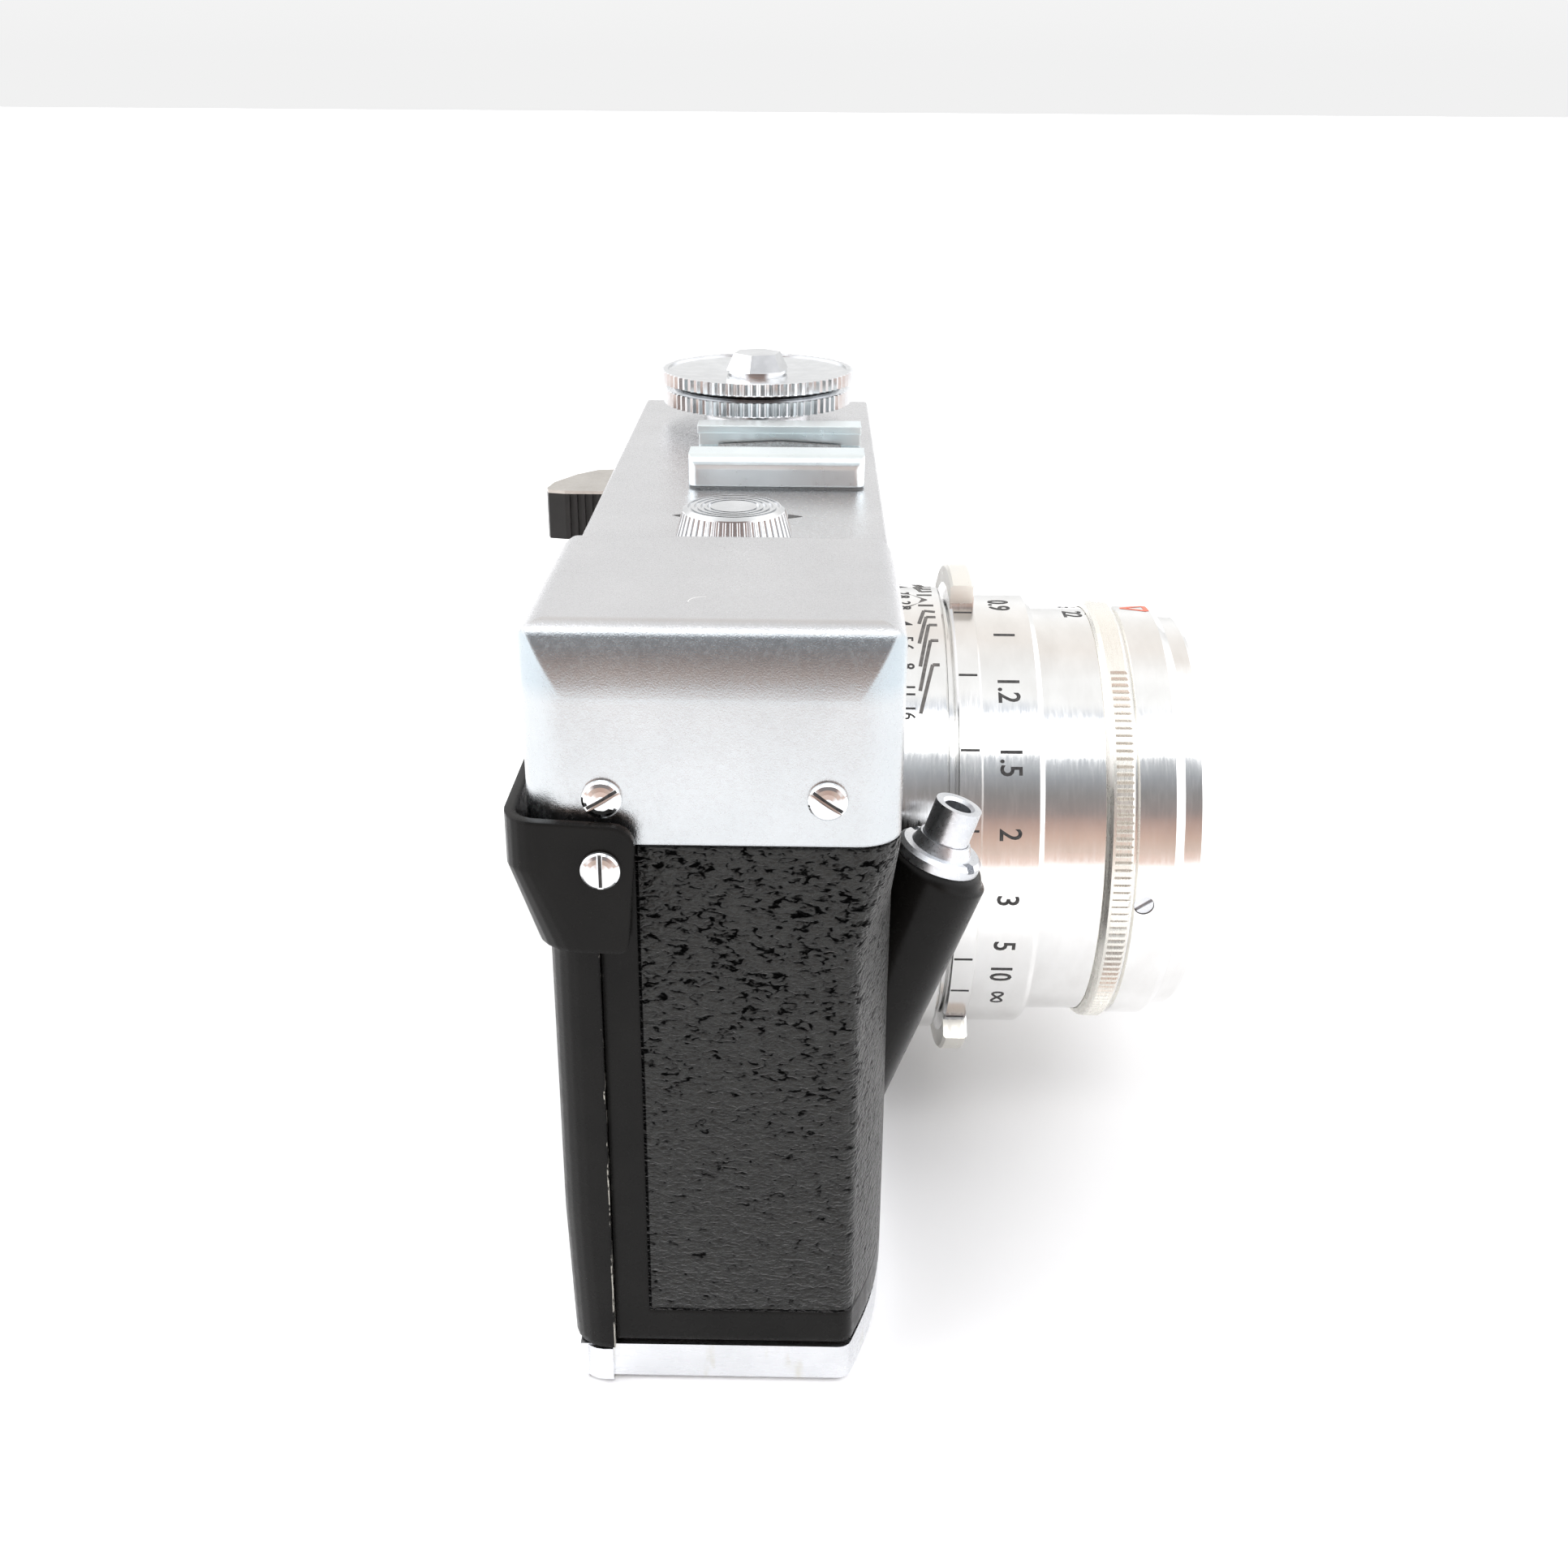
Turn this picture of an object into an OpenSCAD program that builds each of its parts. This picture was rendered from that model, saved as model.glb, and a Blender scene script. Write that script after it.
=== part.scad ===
// 35 mm viewfinder camera with a lever wind, a front release and a focusing lens.
// X runs along the body, from the photographer's right hand (-) to the left hand (+).
// Y runs from the lens (-) to the hinged back (+). Z is up, and the base stands on Z = 0.
// The origin is the mouth of the tripod socket.

/* [Body] */
// Length of the body from end to end
body_len = 126.5; // [125:0.5:130]
// Depth of the top cover from front to back
cover_depth = 33.3; // [33:0.1:34]
// Height of the body's black part, up to the top cover
body_top = 59.9; // [59.5:0.1:60.2]
// Height of the bottom plate's rim
base_h = 4.6; // [4.4:0.1:4.8]
// Height of the low part of the top cover above the table
plate_top = 75.4; // [75:0.1:76]
// Height of the raised finder block above the table
block_top = 79.7; // [79.4:0.1:80]
// Length of the raised finder block
block_len = 29.8; // [29:0.1:31]
// Wall of the pressed covers
wall = 1.1; // [1:0.1:1.2]
// Thickness of the grained covering
leather_t = 0.5; // [0.4:0.1:0.6]

/* [Lens] */
// Height of the lens axis above the table
lens_z = 36; // [35.5:0.1:36.5]
// Radius of the barrel that carries the depth scale
base_r = 27.7; // [27.5:0.1:28]
// Radius of the focusing ring's distance scale
scale_r = 26.8; // [26.6:0.1:27]
// Radius over the focusing ring's two grips
grip_r = 30.4; // [30:0.1:30.8]
// Radius of the sliding barrel that carries the aperture scale
barrel_r = 25.2; // [25:0.1:25.3]
// Radius of the knurled aperture ring
knurl_r = 26.1; // [26:0.1:26.4]
// Distance of the lens's front rim from the middle of the body
lens_front = 53.1; // [52.5:0.1:53.5]

/* [Controls] */
// Distance of the wind shaft from the middle of the body
wind_x = 46.4; // [46:0.1:46.8]
// Radius of the upper top dial
dial_r = 13.6; // [13.4:0.1:13.8]
// Distance of the small knob from the middle of the body
knob_x = 18.5; // [18.3:0.1:19]
// Radius of the small knob's top
knob_r = 5.3; // [5.2:0.1:5.4]
// Distance of the release from the middle of the body
release_x = 45.2; // [44.8:0.1:45.6]
// Lean of the release's button towards the front, in degrees
release_lean = 18.5; // [17:0.5:20]
// Lean of the housing below it, in degrees
housing_lean = 21; // [20:0.5:22]

/* [Hidden] */
$fn = 64;

half_len = body_len / 2;
half_depth = cover_depth / 2;
front_y = half_depth - 0.05;      // front of the covering, flush with the top cover
corner_y = 13.4;                  // front of the end faces, where the sweep begins
sweep_x = 15.8;                   // length of the sweep from the end to the flat front
seam_y = 10.1;                    // joint between the body and the hinged back
strip_y = 6.8;                    // rear edge of the covering on the end faces
leather_z = 9;                    // lower edge of the covering
shoulder_z = 49;                  // where the body starts to flare out to the cover
flare_z = 58.5;                   // where the flare meets the cover's outline
rim_z = 5.4;                      // lower edge of the black body
door_y = 15;                      // flat back of the door
door_out = 0.7;                   // how far the door stands proud of the end face
door_z = 4.8;                     // lower edge of the door
gap = 0.2;                        // free gap between covers
chamber_z = 10.2;                 // floor of the film chambers
deck_z = 62.4;                    // top of the casting, inside the top cover
hinge_x = half_len - 2.05;
hinge_y = 13.2;
pin_r = 0.8;
film_y = 9;                       // plane of the film
spool_y = 0.5;                    // the wind shaft stands this far in front of the middle
fit = 0.05;                       // radial clearance of a running fit
shoe_x = 15.4;                    // middle of the accessory shoe, past the middle
shoe_y = 4.1;                     // and in front of the middle
head_r = 1.8;                     // radius of a screw head
lever_z = 69;                     // underside of the wind lever
fork_x = half_len - 16.75;        // cartridge axis from the middle of the body
sprocket_x = 29.2;                // axis of the film sprocket
sprocket_y = 3.1;
cover_screw_y = [-10, 9.5];       // the two screws in each end of the top cover
cover_screw_z = 64.3;
pin_y = 9.6;                      // the latch's screw, which is also its pin
pin_z = 58.4;
latch_x = half_len + 1.95;        // outside of the latch plate
latch_z = 50.1;                   // its lower edge
latch_top = 63;
latch_travel = 2.5;
neck_r = 25;                      // lens tube where it enters the body
filter_r = 23.25;                 // inside of the front rim, where a filter screws in
eye_x = 43.8;                     // eyepiece and finder window from the middle
end_r = 11.7;                     // large radius that draws the finder block's end in
end_turn = 26;                    // how far that bend goes, in degrees
crown_r = 2;                      // tighter radius from there on to the top
side_r = 2.5;                     // radius of the block's long top edges
eye_z = 69.2;

// Points of an arc about [x, y] from angle a to angle b.
function arc(x, y, r, a, b, n) = [for (i = [0:n]) let (t = a + (b - a) * i / n)
                                  [x + r * cos(t), y + r * sin(t)]];
// The end face's front corner and the swept front behind it, at the right hand.
function sweep(inset) = concat(
    arc(-half_len + 1.4 + inset, -12 + inset / 2, 1.4, 180, 248, 4),
    [for (i = [0:8]) [-half_len + 1.2 + inset + (sweep_x - inset) * i / 8,
                      -front_y + inset + (front_y - corner_y) * pow(1 - i / 8, 2)]]);
function mirrored(points) = [for (i = [len(points) - 1:-1:0]) [-points[i][0], points[i][1]]];
function plan(inset, back) = concat([[-half_len + inset, back]], sweep(inset),
                                    mirrored(sweep(inset)), [[half_len - inset, back]]);
// Rounded rectangle about the middle, in the XY plane.
function round_plan(x, y, r) = concat(arc(x - r, y - r, r, 0, 90, 6),
                                      arc(-x + r, y - r, r, 90, 180, 6),
                                      arc(-x + r, -y + r, r, 180, 270, 6),
                                      arc(x - r, -y + r, r, 270, 360, 6));

module slab(points, z0, z1) {
    translate([0, 0, z0]) linear_extrude(z1 - z0) polygon(points);
}
// A disc or tube along the lens axis, from y0 to y1 measured forwards from the middle.
module ring(y0, y1, r, bore = 0) {
    translate([0, -y0, lens_z]) rotate([90, 0, 0]) difference() {
        cylinder(h = y1 - y0, r = r, $fn = 96);
        if (bore > 0) translate([0, 0, -1]) cylinder(h = y1 - y0 + 2, r = bore, $fn = 96);
    }
}
// A turned shape about the lens axis from [radius, forward distance] points.
module turned(points) {
    translate([0, 0, lens_z]) rotate([90, 0, 0]) rotate_extrude($fn = 96) polygon(points);
}
module box(x0, x1, y0, y1, z0, z1) {
    translate([x0, y0, z0]) cube([x1 - x0, y1 - y0, z1 - z0]);
}
// Round-cornered bar along Y, for windows and frames in the top cover.
module pane(w, h, r, y0, y1) {
    translate([-eye_x, y1, eye_z]) rotate([90, 0, 0])
        linear_extrude(y1 - y0) polygon(round_plan(w / 2, h / 2, r));
}
// Domed, slotted screw with its head's seat at the origin and its dome along +Z.
module screw(r = head_r, dome = 0.9, shank = 0.8, length = 3.5, turn = 0) {
    rotate([0, 0, turn]) {
        difference() {
            rotate_extrude($fn = 48) polygon(concat([[0, 0], [r, 0], [r, 0.25]],
                [for (a = [15:15:90]) [r * cos(a), 0.25 + (dome - 0.25) * sin(a)]]));
            translate([-r - 1, -0.25, dome - 0.45]) cube([2 * r + 2, 0.5, 1]);
        }
        translate([0, 0, -length]) cylinder(h = length, r = shank, $fn = 24);
    }
}
// Outline of a disc with n round hollows of one depth in its edge and sharp teeth between.
function flutes(r, depth, n) = [for (i = [0:4 * n - 1]) let (a = 90 * i / n)
    (r - depth * sin(45 * (i % 4))) * [cos(a), sin(a)]];
// Places of the four screws in the lens flange, with Z forwards along the lens.
module flange_places() {
    for (a = [45:90:315]) translate([0, -17.2, lens_z]) rotate([90, 0, 0])
        rotate([0, 0, a]) translate([26.5, 0, 0]) children();
}

// ---- Body ----

// The black body's outside, grown inwards by inset, with the flared shoulder.
module body_form(inset) {
    slab(plan(inset, seam_y), leather_z - 1, shoulder_z);
    hull() {
        slab(plan(inset, seam_y), shoulder_z - 0.01, shoulder_z);
        intersection() {
            slab(round_plan(half_len - inset, front_y - inset, 4), flare_z, body_top - gap);
            box(-half_len, half_len, -half_depth, seam_y, flare_z, body_top);
        }
    }
}
module body_shell() {
    color("#1c1c1d") difference() {
        union() {
            body_form(leather_t);
            slab(plan(0, seam_y), rim_z, leather_z);
            slab(plan(1, seam_y - 0.5), base_h, rim_z);
            for (s = [-1, 1]) scale([s, 1, 1])
                box(-half_len, -half_len + 2, strip_y, seam_y, leather_z - 1, body_top - gap);
            slab(round_plan(half_len - wall - 0.4, half_depth - wall - 0.4, 3),
                 body_top - 1, deck_z);
            for (s = [-1, 1]) for (y = cover_screw_y) scale([s, 1, 1])
                box(half_len - 5, half_len - wall - 0.4, y - 2.5, y + 2.5, deck_z - 1, 67);
            for (z = [8, 45.4]) {
                translate([hinge_x, hinge_y, z]) cylinder(h = 11.6, r = 2, $fn = 32);
                box(hinge_x - 1.2, half_len - 0.1, seam_y - 1, hinge_y, z, z + 11.6);
            }
        }
        box(-half_len + 2.2, half_len - 2.2, -front_y + 2.2, seam_y + 1, chamber_z,
            body_top - 0.2);
        box(-half_len, half_len, seam_y, half_depth, body_top - 1.5, body_top);
        for (s = [-1, 1]) for (y = cover_screw_y) translate([s * half_len, y, cover_screw_z])
            rotate([0, 90, 0]) translate([0, 0, -6]) cylinder(h = 12, r = 0.85, $fn = 24);
        translate([0, 0, lens_z]) rotate([90, 0, 0]) cylinder(h = 30, r = neck_r + fit, $fn = 96);
        ring(front_y - leather_t, half_depth + 1, base_r + 0.6);
        flange_places() translate([0, 0, -4]) cylinder(h = 5, r = 0.65, $fn = 24);
        for (x = [-30, 30]) translate([x, 0, base_h - 1]) cylinder(h = 2.4, r = 1, $fn = 24);
        translate([hinge_x, hinge_y, 7]) cylinder(h = 52, r = pin_r, $fn = 32);
        translate([0, 0, base_h - 1]) cylinder(h = 4.6, r = 6, $fn = 48);
        translate([wind_x, -spool_y, body_top - 1]) cylinder(h = 4, r = 2.5 + fit, $fn = 48);
        translate([sprocket_x, sprocket_y, body_top - 1]) cylinder(h = 4, r = 2 + fit, $fn = 48);
        translate([-fork_x, 0, 0]) cylinder(h = 12, r = 2 + fit, $fn = 48);
        release_axis() translate([0, 0, -26]) cylinder(h = 30, r = 2.6, $fn = 48);
        pin_slot();
    }
}
// Slot in the end of the body and the back, where the latch's pin slides.
module pin_slot() {
    box(-half_len - 2, -half_len + 0.5, pin_y - 0.9, pin_y + 0.9,
        pin_z - latch_travel - 0.9, pin_z + 0.9);
    box(-half_len - 2, -half_len + 0.5, pin_y, seam_y + 0.05,
        pin_z - latch_travel - 0.9, pin_z + 0.9);
}
module light_box() {
    color("#232324") difference() {
        union() {
            box(-21, 21, -front_y + 2.2 + gap, film_y - 1.2, lens_z - 15.5, lens_z + 15.5);
            box(-22, 22, film_y - 1.2, film_y - 0.3, lens_z - 18.4, lens_z + 18.4);
            for (s = [-1, 1]) box(-22, 22, film_y - 0.4, film_y,
                                  lens_z + s * 15.6 - 1.2, lens_z + s * 15.6 + 1.2);
        }
        box(-18, 18, -half_depth, film_y + 1, lens_z - 12, lens_z + 12);
    }
}
module leather_side(side) {
    color("#2b2c2d") scale([side, 1, 1]) difference() {
        intersection() {
            body_form(0);
            box(-half_len - 1, -2, -half_depth - 1, strip_y, leather_z, body_top - gap - 0.1);
        }
        body_form(leather_t);
        translate([0, 0, lens_z]) rotate([90, 0, 0]) cylinder(h = 30, r = base_r + 0.6);
        if (side > 0) housing_axis() translate([0, 0, -40]) cylinder(h = 60, r = 5.3, $fn = 48);
    }
}
module leather_right() { leather_side(1); }
module leather_left() { leather_side(-1); }

// The plate's foot under the back, which stands proud of the body like the back.
function foot_plan(inset) = let (x = -half_len - 0.6 + inset, y = 13.8 - inset)
    concat([[-half_len + 8, y], [-half_len + 8, seam_y + 0.4], [x, seam_y + 0.4]],
           mirror_y(arc(x + 2.4, -y + 2.4, 2.4, 180, 270, 5)));
module bottom_plate() {
    color("#d5d6d8") difference() {
        union() {
            hull() {
                slab(plan(0.7, 13.2), 0, 0.1);
                slab(plan(0.1, 13.8), 0.7, base_h);
            }
            hull() {
                slab(foot_plan(0.6), 0, 0.1);
                slab(foot_plan(0), 0.7, base_h - 0.1);
            }
        }
        slab(plan(wall + 0.1, 12.6), 1, base_h);
        translate([0, 0, -1]) cylinder(h = 4, r = 6 + fit, $fn = 48);
        translate([-fork_x, 0, -1]) cylinder(h = 4, r = 8.2, $fn = 64);
        for (x = [-30, 30]) translate([x, 0, 0]) {
            cylinder(h = 4, r = 1, $fn = 24);
            translate([0, 0, -0.05]) cylinder(h = 1, r1 = 2.2, r2 = 1, $fn = 48);
        }
    }
    color("#d5d6d8") for (x = [-30, 30]) translate([x, 0, 1]) difference() {
        cylinder(h = base_h - 1, r = 3, $fn = 32);
        translate([0, 0, -1]) cylinder(h = base_h + 1, r = 1, $fn = 24);
    }
}
module bottom_screws() {
    color("silver") for (x = [-30, 30]) translate([x, 0, 0]) mirror([0, 0, 1])
        translate([0, 0, -0.9]) difference() {
            union() {
                rotate_extrude($fn = 48) polygon([[0, 0], [0.9, 0], [1.9, 0.8], [0, 0.8]]);
                translate([0, 0, -4.2]) cylinder(h = 4.2, r = 0.9, $fn = 24);
            }
            translate([-3, -0.2, 0.4]) cube([6, 0.4, 1]);
        }
}
module tripod_bush() {
    color("silver") difference() {
        translate([0, 0, 0]) cylinder(h = 8.2, r = 6, $fn = 48);
        translate([0, 0, -1]) cylinder(h = 7.5, r = 2.6, $fn = 48);
    }
}

// ---- Top cover ----

// What is cut away to round an edge along Z whose corner points towards +X and +Y.
module off_corner(r, length) {
    difference() {
        cube([r + 1, r + 1, length]);
        translate([0, 0, -1]) cylinder(h = length + 2, r = r, $fn = 64);
    }
}
module along_y(x, z, r) {
    translate([x, half_depth + 2, z]) rotate([90, 0, 0])
        cylinder(h = cover_depth + 4, r = r, $fn = 96);
}
// Raised block over the finder; its end bends in gently, then turns tightly on to the top.
module block_form(inset) {
    x0 = -half_len + inset;
    x1 = -half_len + block_len - inset;
    y = half_depth - inset;
    low = body_top - inset * 2;
    high = block_top - inset;
    turn_x = x0 + end_r * (1 - cos(end_turn));
    turn_z = high - crown_r * (1 - sin(end_turn));
    bend_z = turn_z - end_r * sin(end_turn);
    crown_x = turn_x + crown_r * cos(end_turn);
    difference() {
        box(x0, x1, -y, y, low, high);
        difference() {
            box(x0 - 1, turn_x, -y - 1, y + 1, bend_z, high + 1);
            along_y(x0 + end_r, bend_z, end_r);
        }
        difference() {
            box(x0 - 1, crown_x, -y - 1, y + 1, turn_z, high + 1);
            along_y(crown_x, high - crown_r, crown_r);
        }
        translate([x0 - 1, y - side_r, high - side_r]) rotate([90, 0, 90])
            off_corner(side_r, block_len + 2);
        translate([x1 + 1, -y + side_r, high - side_r]) rotate([90, 0, -90])
            off_corner(side_r, block_len + 2);
        translate([x1 - 0.8, y + 1, high - 0.8]) rotate([90, 0, 0])
            off_corner(0.8, cover_depth + 2);
        for (c = [[x1 - 3, y - 3, 3, 0], [x0 + 4, y - 4, 4, 90],
                  [x0 + 4, -y + 4, 4, 180], [x1 - 3, -y + 3, 3, 270]])
            translate([c[0], c[1], low - 1]) rotate([0, 0, c[3]])
                off_corner(c[2], block_top - low + 2);
    }
}
module cover_form(inset) {
    top = plate_top - inset;
    low = body_top - inset * 2;
    block_form(inset);
    intersection() {
        slab(round_plan(half_len - inset, half_depth - inset, 4 - inset), low, top);
        rotate([90, 0, 0]) translate([0, 0, -half_depth]) linear_extrude(cover_depth) polygon(
            concat([[-half_len + 8, low], [half_len - inset, low]],
                   arc(half_len - inset - 3, top - 3, 3, 0, 90, 6), [[-half_len + 8, top]]));
        rotate([90, 0, 90]) translate([0, 0, -half_len]) linear_extrude(body_len) polygon(
            concat([[-half_depth + inset, low], [half_depth - inset, low]],
                   arc(half_depth - inset - 0.6, top - 0.6, 0.6, 0, 90, 3),
                   arc(-half_depth + inset + 0.6, top - 0.6, 0.6, 90, 180, 3)));
    }
}
module top_cover() {
    color("#cfd0d1") difference() {
        cover_form(0);
        cover_form(wall);
        translate([wind_x, -spool_y, plate_top - 3]) cylinder(h = 6, r = 4.5, $fn = 48);
        translate([-knob_x, 0, plate_top - 3]) cylinder(h = 6, r = 2 + fit, $fn = 48);
        pane(17, 12, 2, -half_depth - 1, -half_depth + 3);
        pane(14.2, 10.5, 3.5, half_depth - 3, half_depth + 1);
        box(15.5, 58.6, half_depth - 3, half_depth + 1, lever_z - 0.4, lever_z + 1.8);
        ring(half_depth - 3, half_depth + 3, base_r + 0.6);
        for (s = [-1, 1]) for (y = cover_screw_y) translate([s * half_len, y, cover_screw_z])
            rotate([0, 90, 0]) translate([0, 0, -3]) cylinder(h = 6, r = 0.85, $fn = 24);
        for (x = [-4, 4]) for (y = [-5, 5]) translate([shoe_x + x, -shoe_y + y, plate_top - 3])
            cylinder(h = 6, r = 0.7, $fn = 24);
    }
}
module cover_screws() {
    color("silver") for (s = [-1, 1]) for (y = cover_screw_y)
        translate([s * half_len, y, cover_screw_z]) rotate([0, s * 90, 0])
            screw(turn = y > 0 ? -58 : 55);
}
module finder_window() {
    color("#3c4650", 0.6) pane(16.8, 11.8, 1.9, -half_depth + 0.2, -half_depth + 1.6);
}
module finder_tube() {
    color("#202020") difference() {
        translate([-eye_x, 0, eye_z]) rotate([90, 0, 0]) translate([0, 0, -14.4])
            linear_extrude(28.8) polygon(round_plan(8.4, 6.8, 2));
        translate([-eye_x, 0, eye_z]) rotate([90, 0, 0]) translate([0, 0, -16])
            linear_extrude(32) polygon(round_plan(6.6, 4.6, 1.5));
    }
}
module eyepiece_frame() {
    color("#151515") difference() {
        pane(15.6, 12, 4, half_depth, half_depth + 0.9);
        pane(10.4, 7, 2, half_depth - 4, half_depth + 3);
    }
    color("#151515") difference() {
        pane(14.1, 10.4, 3.4, half_depth - 1.6, half_depth);
        pane(10.4, 7, 2, half_depth - 4, half_depth + 3);
    }
}
module eyepiece_lens() {
    color("#506070", 0.5) pane(10.3, 6.9, 1.9, half_depth - 1.4, half_depth - 0.2);
}
module accessory_shoe() {
    out_x = 11.6;
    len_y = 10.55;
    color("#dcdddf") translate([shoe_x, -shoe_y, plate_top]) difference() {
        intersection() {
            rotate([90, 0, 0]) translate([0, 0, -len_y]) linear_extrude(2 * len_y) polygon(
                concat([[out_x - 1.2, 0], [out_x - 1.2, 0.35], [out_x, 0.35]],
                       arc(out_x - 1.6, 4 - 1.6, 1.6, 0, 90, 5), [[6.3, 4], [6.3, 3]],
                       [[9.4, 3], [9.4, 0.8], [-9.4, 0.8], [-9.4, 3], [-6.3, 3], [-6.3, 4]],
                       arc(-out_x + 1.6, 4 - 1.6, 1.6, 90, 180, 5),
                       [[-out_x, 0.35], [-out_x + 1.2, 0.35], [-out_x + 1.2, 0]]));
            slab(round_plan(out_x, len_y, 1.2), -1, 5);
        }
        for (x = [-4, 4]) for (y = [-5, 5]) translate([x, y, -1])
            cylinder(h = 6, r = 0.7, $fn = 24);
    }
}
module shoe_screws() {
    color("silver") for (x = [-4, 4]) for (y = [-5, 5])
        translate([shoe_x + x, -shoe_y + y, plate_top + 0.8])
            screw(r = 1.3, dome = 0.5, shank = 0.7, length = 2.4);
}
module shoe_spring() {
    color("silver") for (s = [-1, 1])
        translate([shoe_x + s * 8.4, -shoe_y, plate_top]) rotate([90, 0, 90])
            translate([0, 0, -0.5]) linear_extrude(1) polygon(
                [[-8, 0.85], [8, 0.85], [8, 1.1], [0, 1.5], [-8, 1.1]]);
}

// ---- Hinged back ----

function door_plan(inset, y) = concat([[hinge_x - 2.4 - inset, y - inset],
                                       [hinge_x - 2.4 - inset, seam_y + 0.1]],
    [[-half_len - door_out + inset, seam_y + 0.1]],
    mirror_y(arc(-half_len - door_out + 3.8 + inset / 2, -y + 3.8 + inset / 2,
                 3.8 - inset / 2, 180, 270, 6)));
function mirror_y(points) = [for (p = points) [p[0], -p[1]]];
module door_form(inset) {
    hull() {
        slab(door_plan(inset, door_y - 0.5), door_z, door_z + 0.1);
        slab(door_plan(inset, door_y), 20, 20.1);
    }
    slab(door_plan(inset, door_y), 20, shoulder_z);
    hull() {
        slab(door_plan(inset, door_y), shoulder_z - 0.1, shoulder_z);
        slab(door_plan(inset, half_depth - 0.1), 57.5, body_top - gap);
    }
}
module rear_door() {
    color("#1b1b1c") difference() {
        union() {
            door_form(0);
            translate([hinge_x, hinge_y, 20]) cylinder(h = 25, r = 2, $fn = 32);
            box(hinge_x - 4, hinge_x, 12.6, 14.6, 20, 45);
        }
        box(-half_len + 1, hinge_x - 4, seam_y - 1, door_y - 1.6, door_z + 1.5, body_top - 1.8);
        translate([hinge_x, hinge_y, 19]) cylinder(h = 27, r = pin_r + fit, $fn = 32);
        pin_slot();
    }
}
module door_leather() {
    color("#2b2c2d") difference() {
        intersection() {
            door_form(-leather_t);
            box(-49.3, 54, door_y - 1, half_depth + 1, 9, 56.5);
        }
        door_form(0);
    }
}
module hinge_pin() {
    color("silver") translate([hinge_x, hinge_y, 8]) cylinder(h = 49, r = pin_r, $fn = 32);
}
module pressure_plate() {
    color("#303234") box(-23, 23, film_y + 0.3, film_y + 1.3, lens_z - 17, lens_z + 17);
}
module plate_spring() {
    color("silver") translate([0, 0, lens_z]) for (s = [-1, 1])
        translate([0, 0, s * 10 - 2]) linear_extrude(4) polygon(
            [[-19, door_y - 1.6], [-19, door_y - 1.9], [0, film_y + 1.3], [19, door_y - 1.9],
             [19, door_y - 1.6], [0, film_y + 1.6]]);
}
function latch_plan(x0, y, r) = concat([[x0, 6], [x0 + 18, 6], [x0 + 18, y]],
    mirror_y(arc(x0 + r, -y + r, r, 270, 180, 6)));
// Outside of the latch plate's bent sheet, or its inside when inset.
module latch_form(inset) {
    x0 = -latch_x + inset;
    hull() {
        slab(latch_plan(x0, 15.9 - inset * 0.6, 4.4 - inset), latch_z, latch_z + 0.1);
        slab(latch_plan(x0, 18.2 - inset, 3 - inset), 58, 58.1);
    }
    slab(latch_plan(x0, 18.2 - inset, 3 - inset), 58, latch_top);
}
module latch_plate() {
    color("#171717") difference() {
        intersection() {
            latch_form(0);
            rotate([90, 0, 90]) translate([0, 0, -latch_x - 1]) linear_extrude(15.5)
                polygon(concat(arc(strip_y + 1.8, latch_top - 2.6, 2, 90, 180, 5),
                               arc(strip_y + 1.4, latch_z + 0.8, 0.8, 180, 270, 4),
                               [[20, latch_z + 0.2], [20, latch_top]]));
        }
        latch_form(0.95);
        translate([-latch_x - 1, pin_y, pin_z]) rotate([0, 90, 0])
            cylinder(h = 4, r = 0.85, $fn = 24);
    }
}
module latch_screw() {
    color("silver") translate([-latch_x, pin_y, pin_z]) rotate([0, -90, 0])
        screw(length = 2.2);
}

// ---- Wind and top dials ----

module wind_shaft() {
    color("silver") translate([wind_x, -spool_y, deck_z + 0.3]) {
        cylinder(h = 20.2, r = 2.4, $fn = 48);
        cylinder(h = lever_z - deck_z - 0.3, r = 4.2, $fn = 48);
    }
}
module wind_lever() {
    color("#b9babc") difference() {
        union() {
            hull() {
                translate([wind_x, -spool_y, lever_z]) cylinder(h = 1.4, r = 5, $fn = 32);
                translate([17.5, 19.4, lever_z]) cylinder(h = 1.4, r = 2.6, $fn = 32);
            }
        }
        translate([wind_x, -spool_y, lever_z - 1]) cylinder(h = 4, r = 2.4, $fn = 48);
        box(11, 26, half_depth + 0.45, 30, lever_z - 1, lever_z + 3);
    }
}
// The thumb piece's outline, with its blunt end towards the right hand.
function tip_plan() = [[11.8, 17.1], [24, 17.1], [23.6, 19.6], [20.9, 22.1], [16.4, 24.4],
                       [13.2, 24.9], [12.3, 24.6], [11.8, 22.5]];
module lever_tip() {
    color("#1a1a1a") difference() {
        slab(tip_plan(), 66.9, 72.7);
        for (y = [17.6:0.95:21.6]) box(11, 12.2, y, y + 0.5, 66, 73);
    }
}
module lever_cap() {
    color("#b9babc") slab(tip_plan(), 72.7, 73.1);
}
module dial_boss() {
    color("#5a5a5c") translate([wind_x, -spool_y, plate_top - wall]) difference() {
        union() {
            cylinder(h = wall + 2.5, r = 4.45, $fn = 48);
            translate([0, 0, wall]) cylinder(h = 1.2, r = 7.5, $fn = 48);
        }
        translate([0, 0, -1]) cylinder(h = 8, r = 2.4 + fit, $fn = 48);
    }
}
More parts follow.
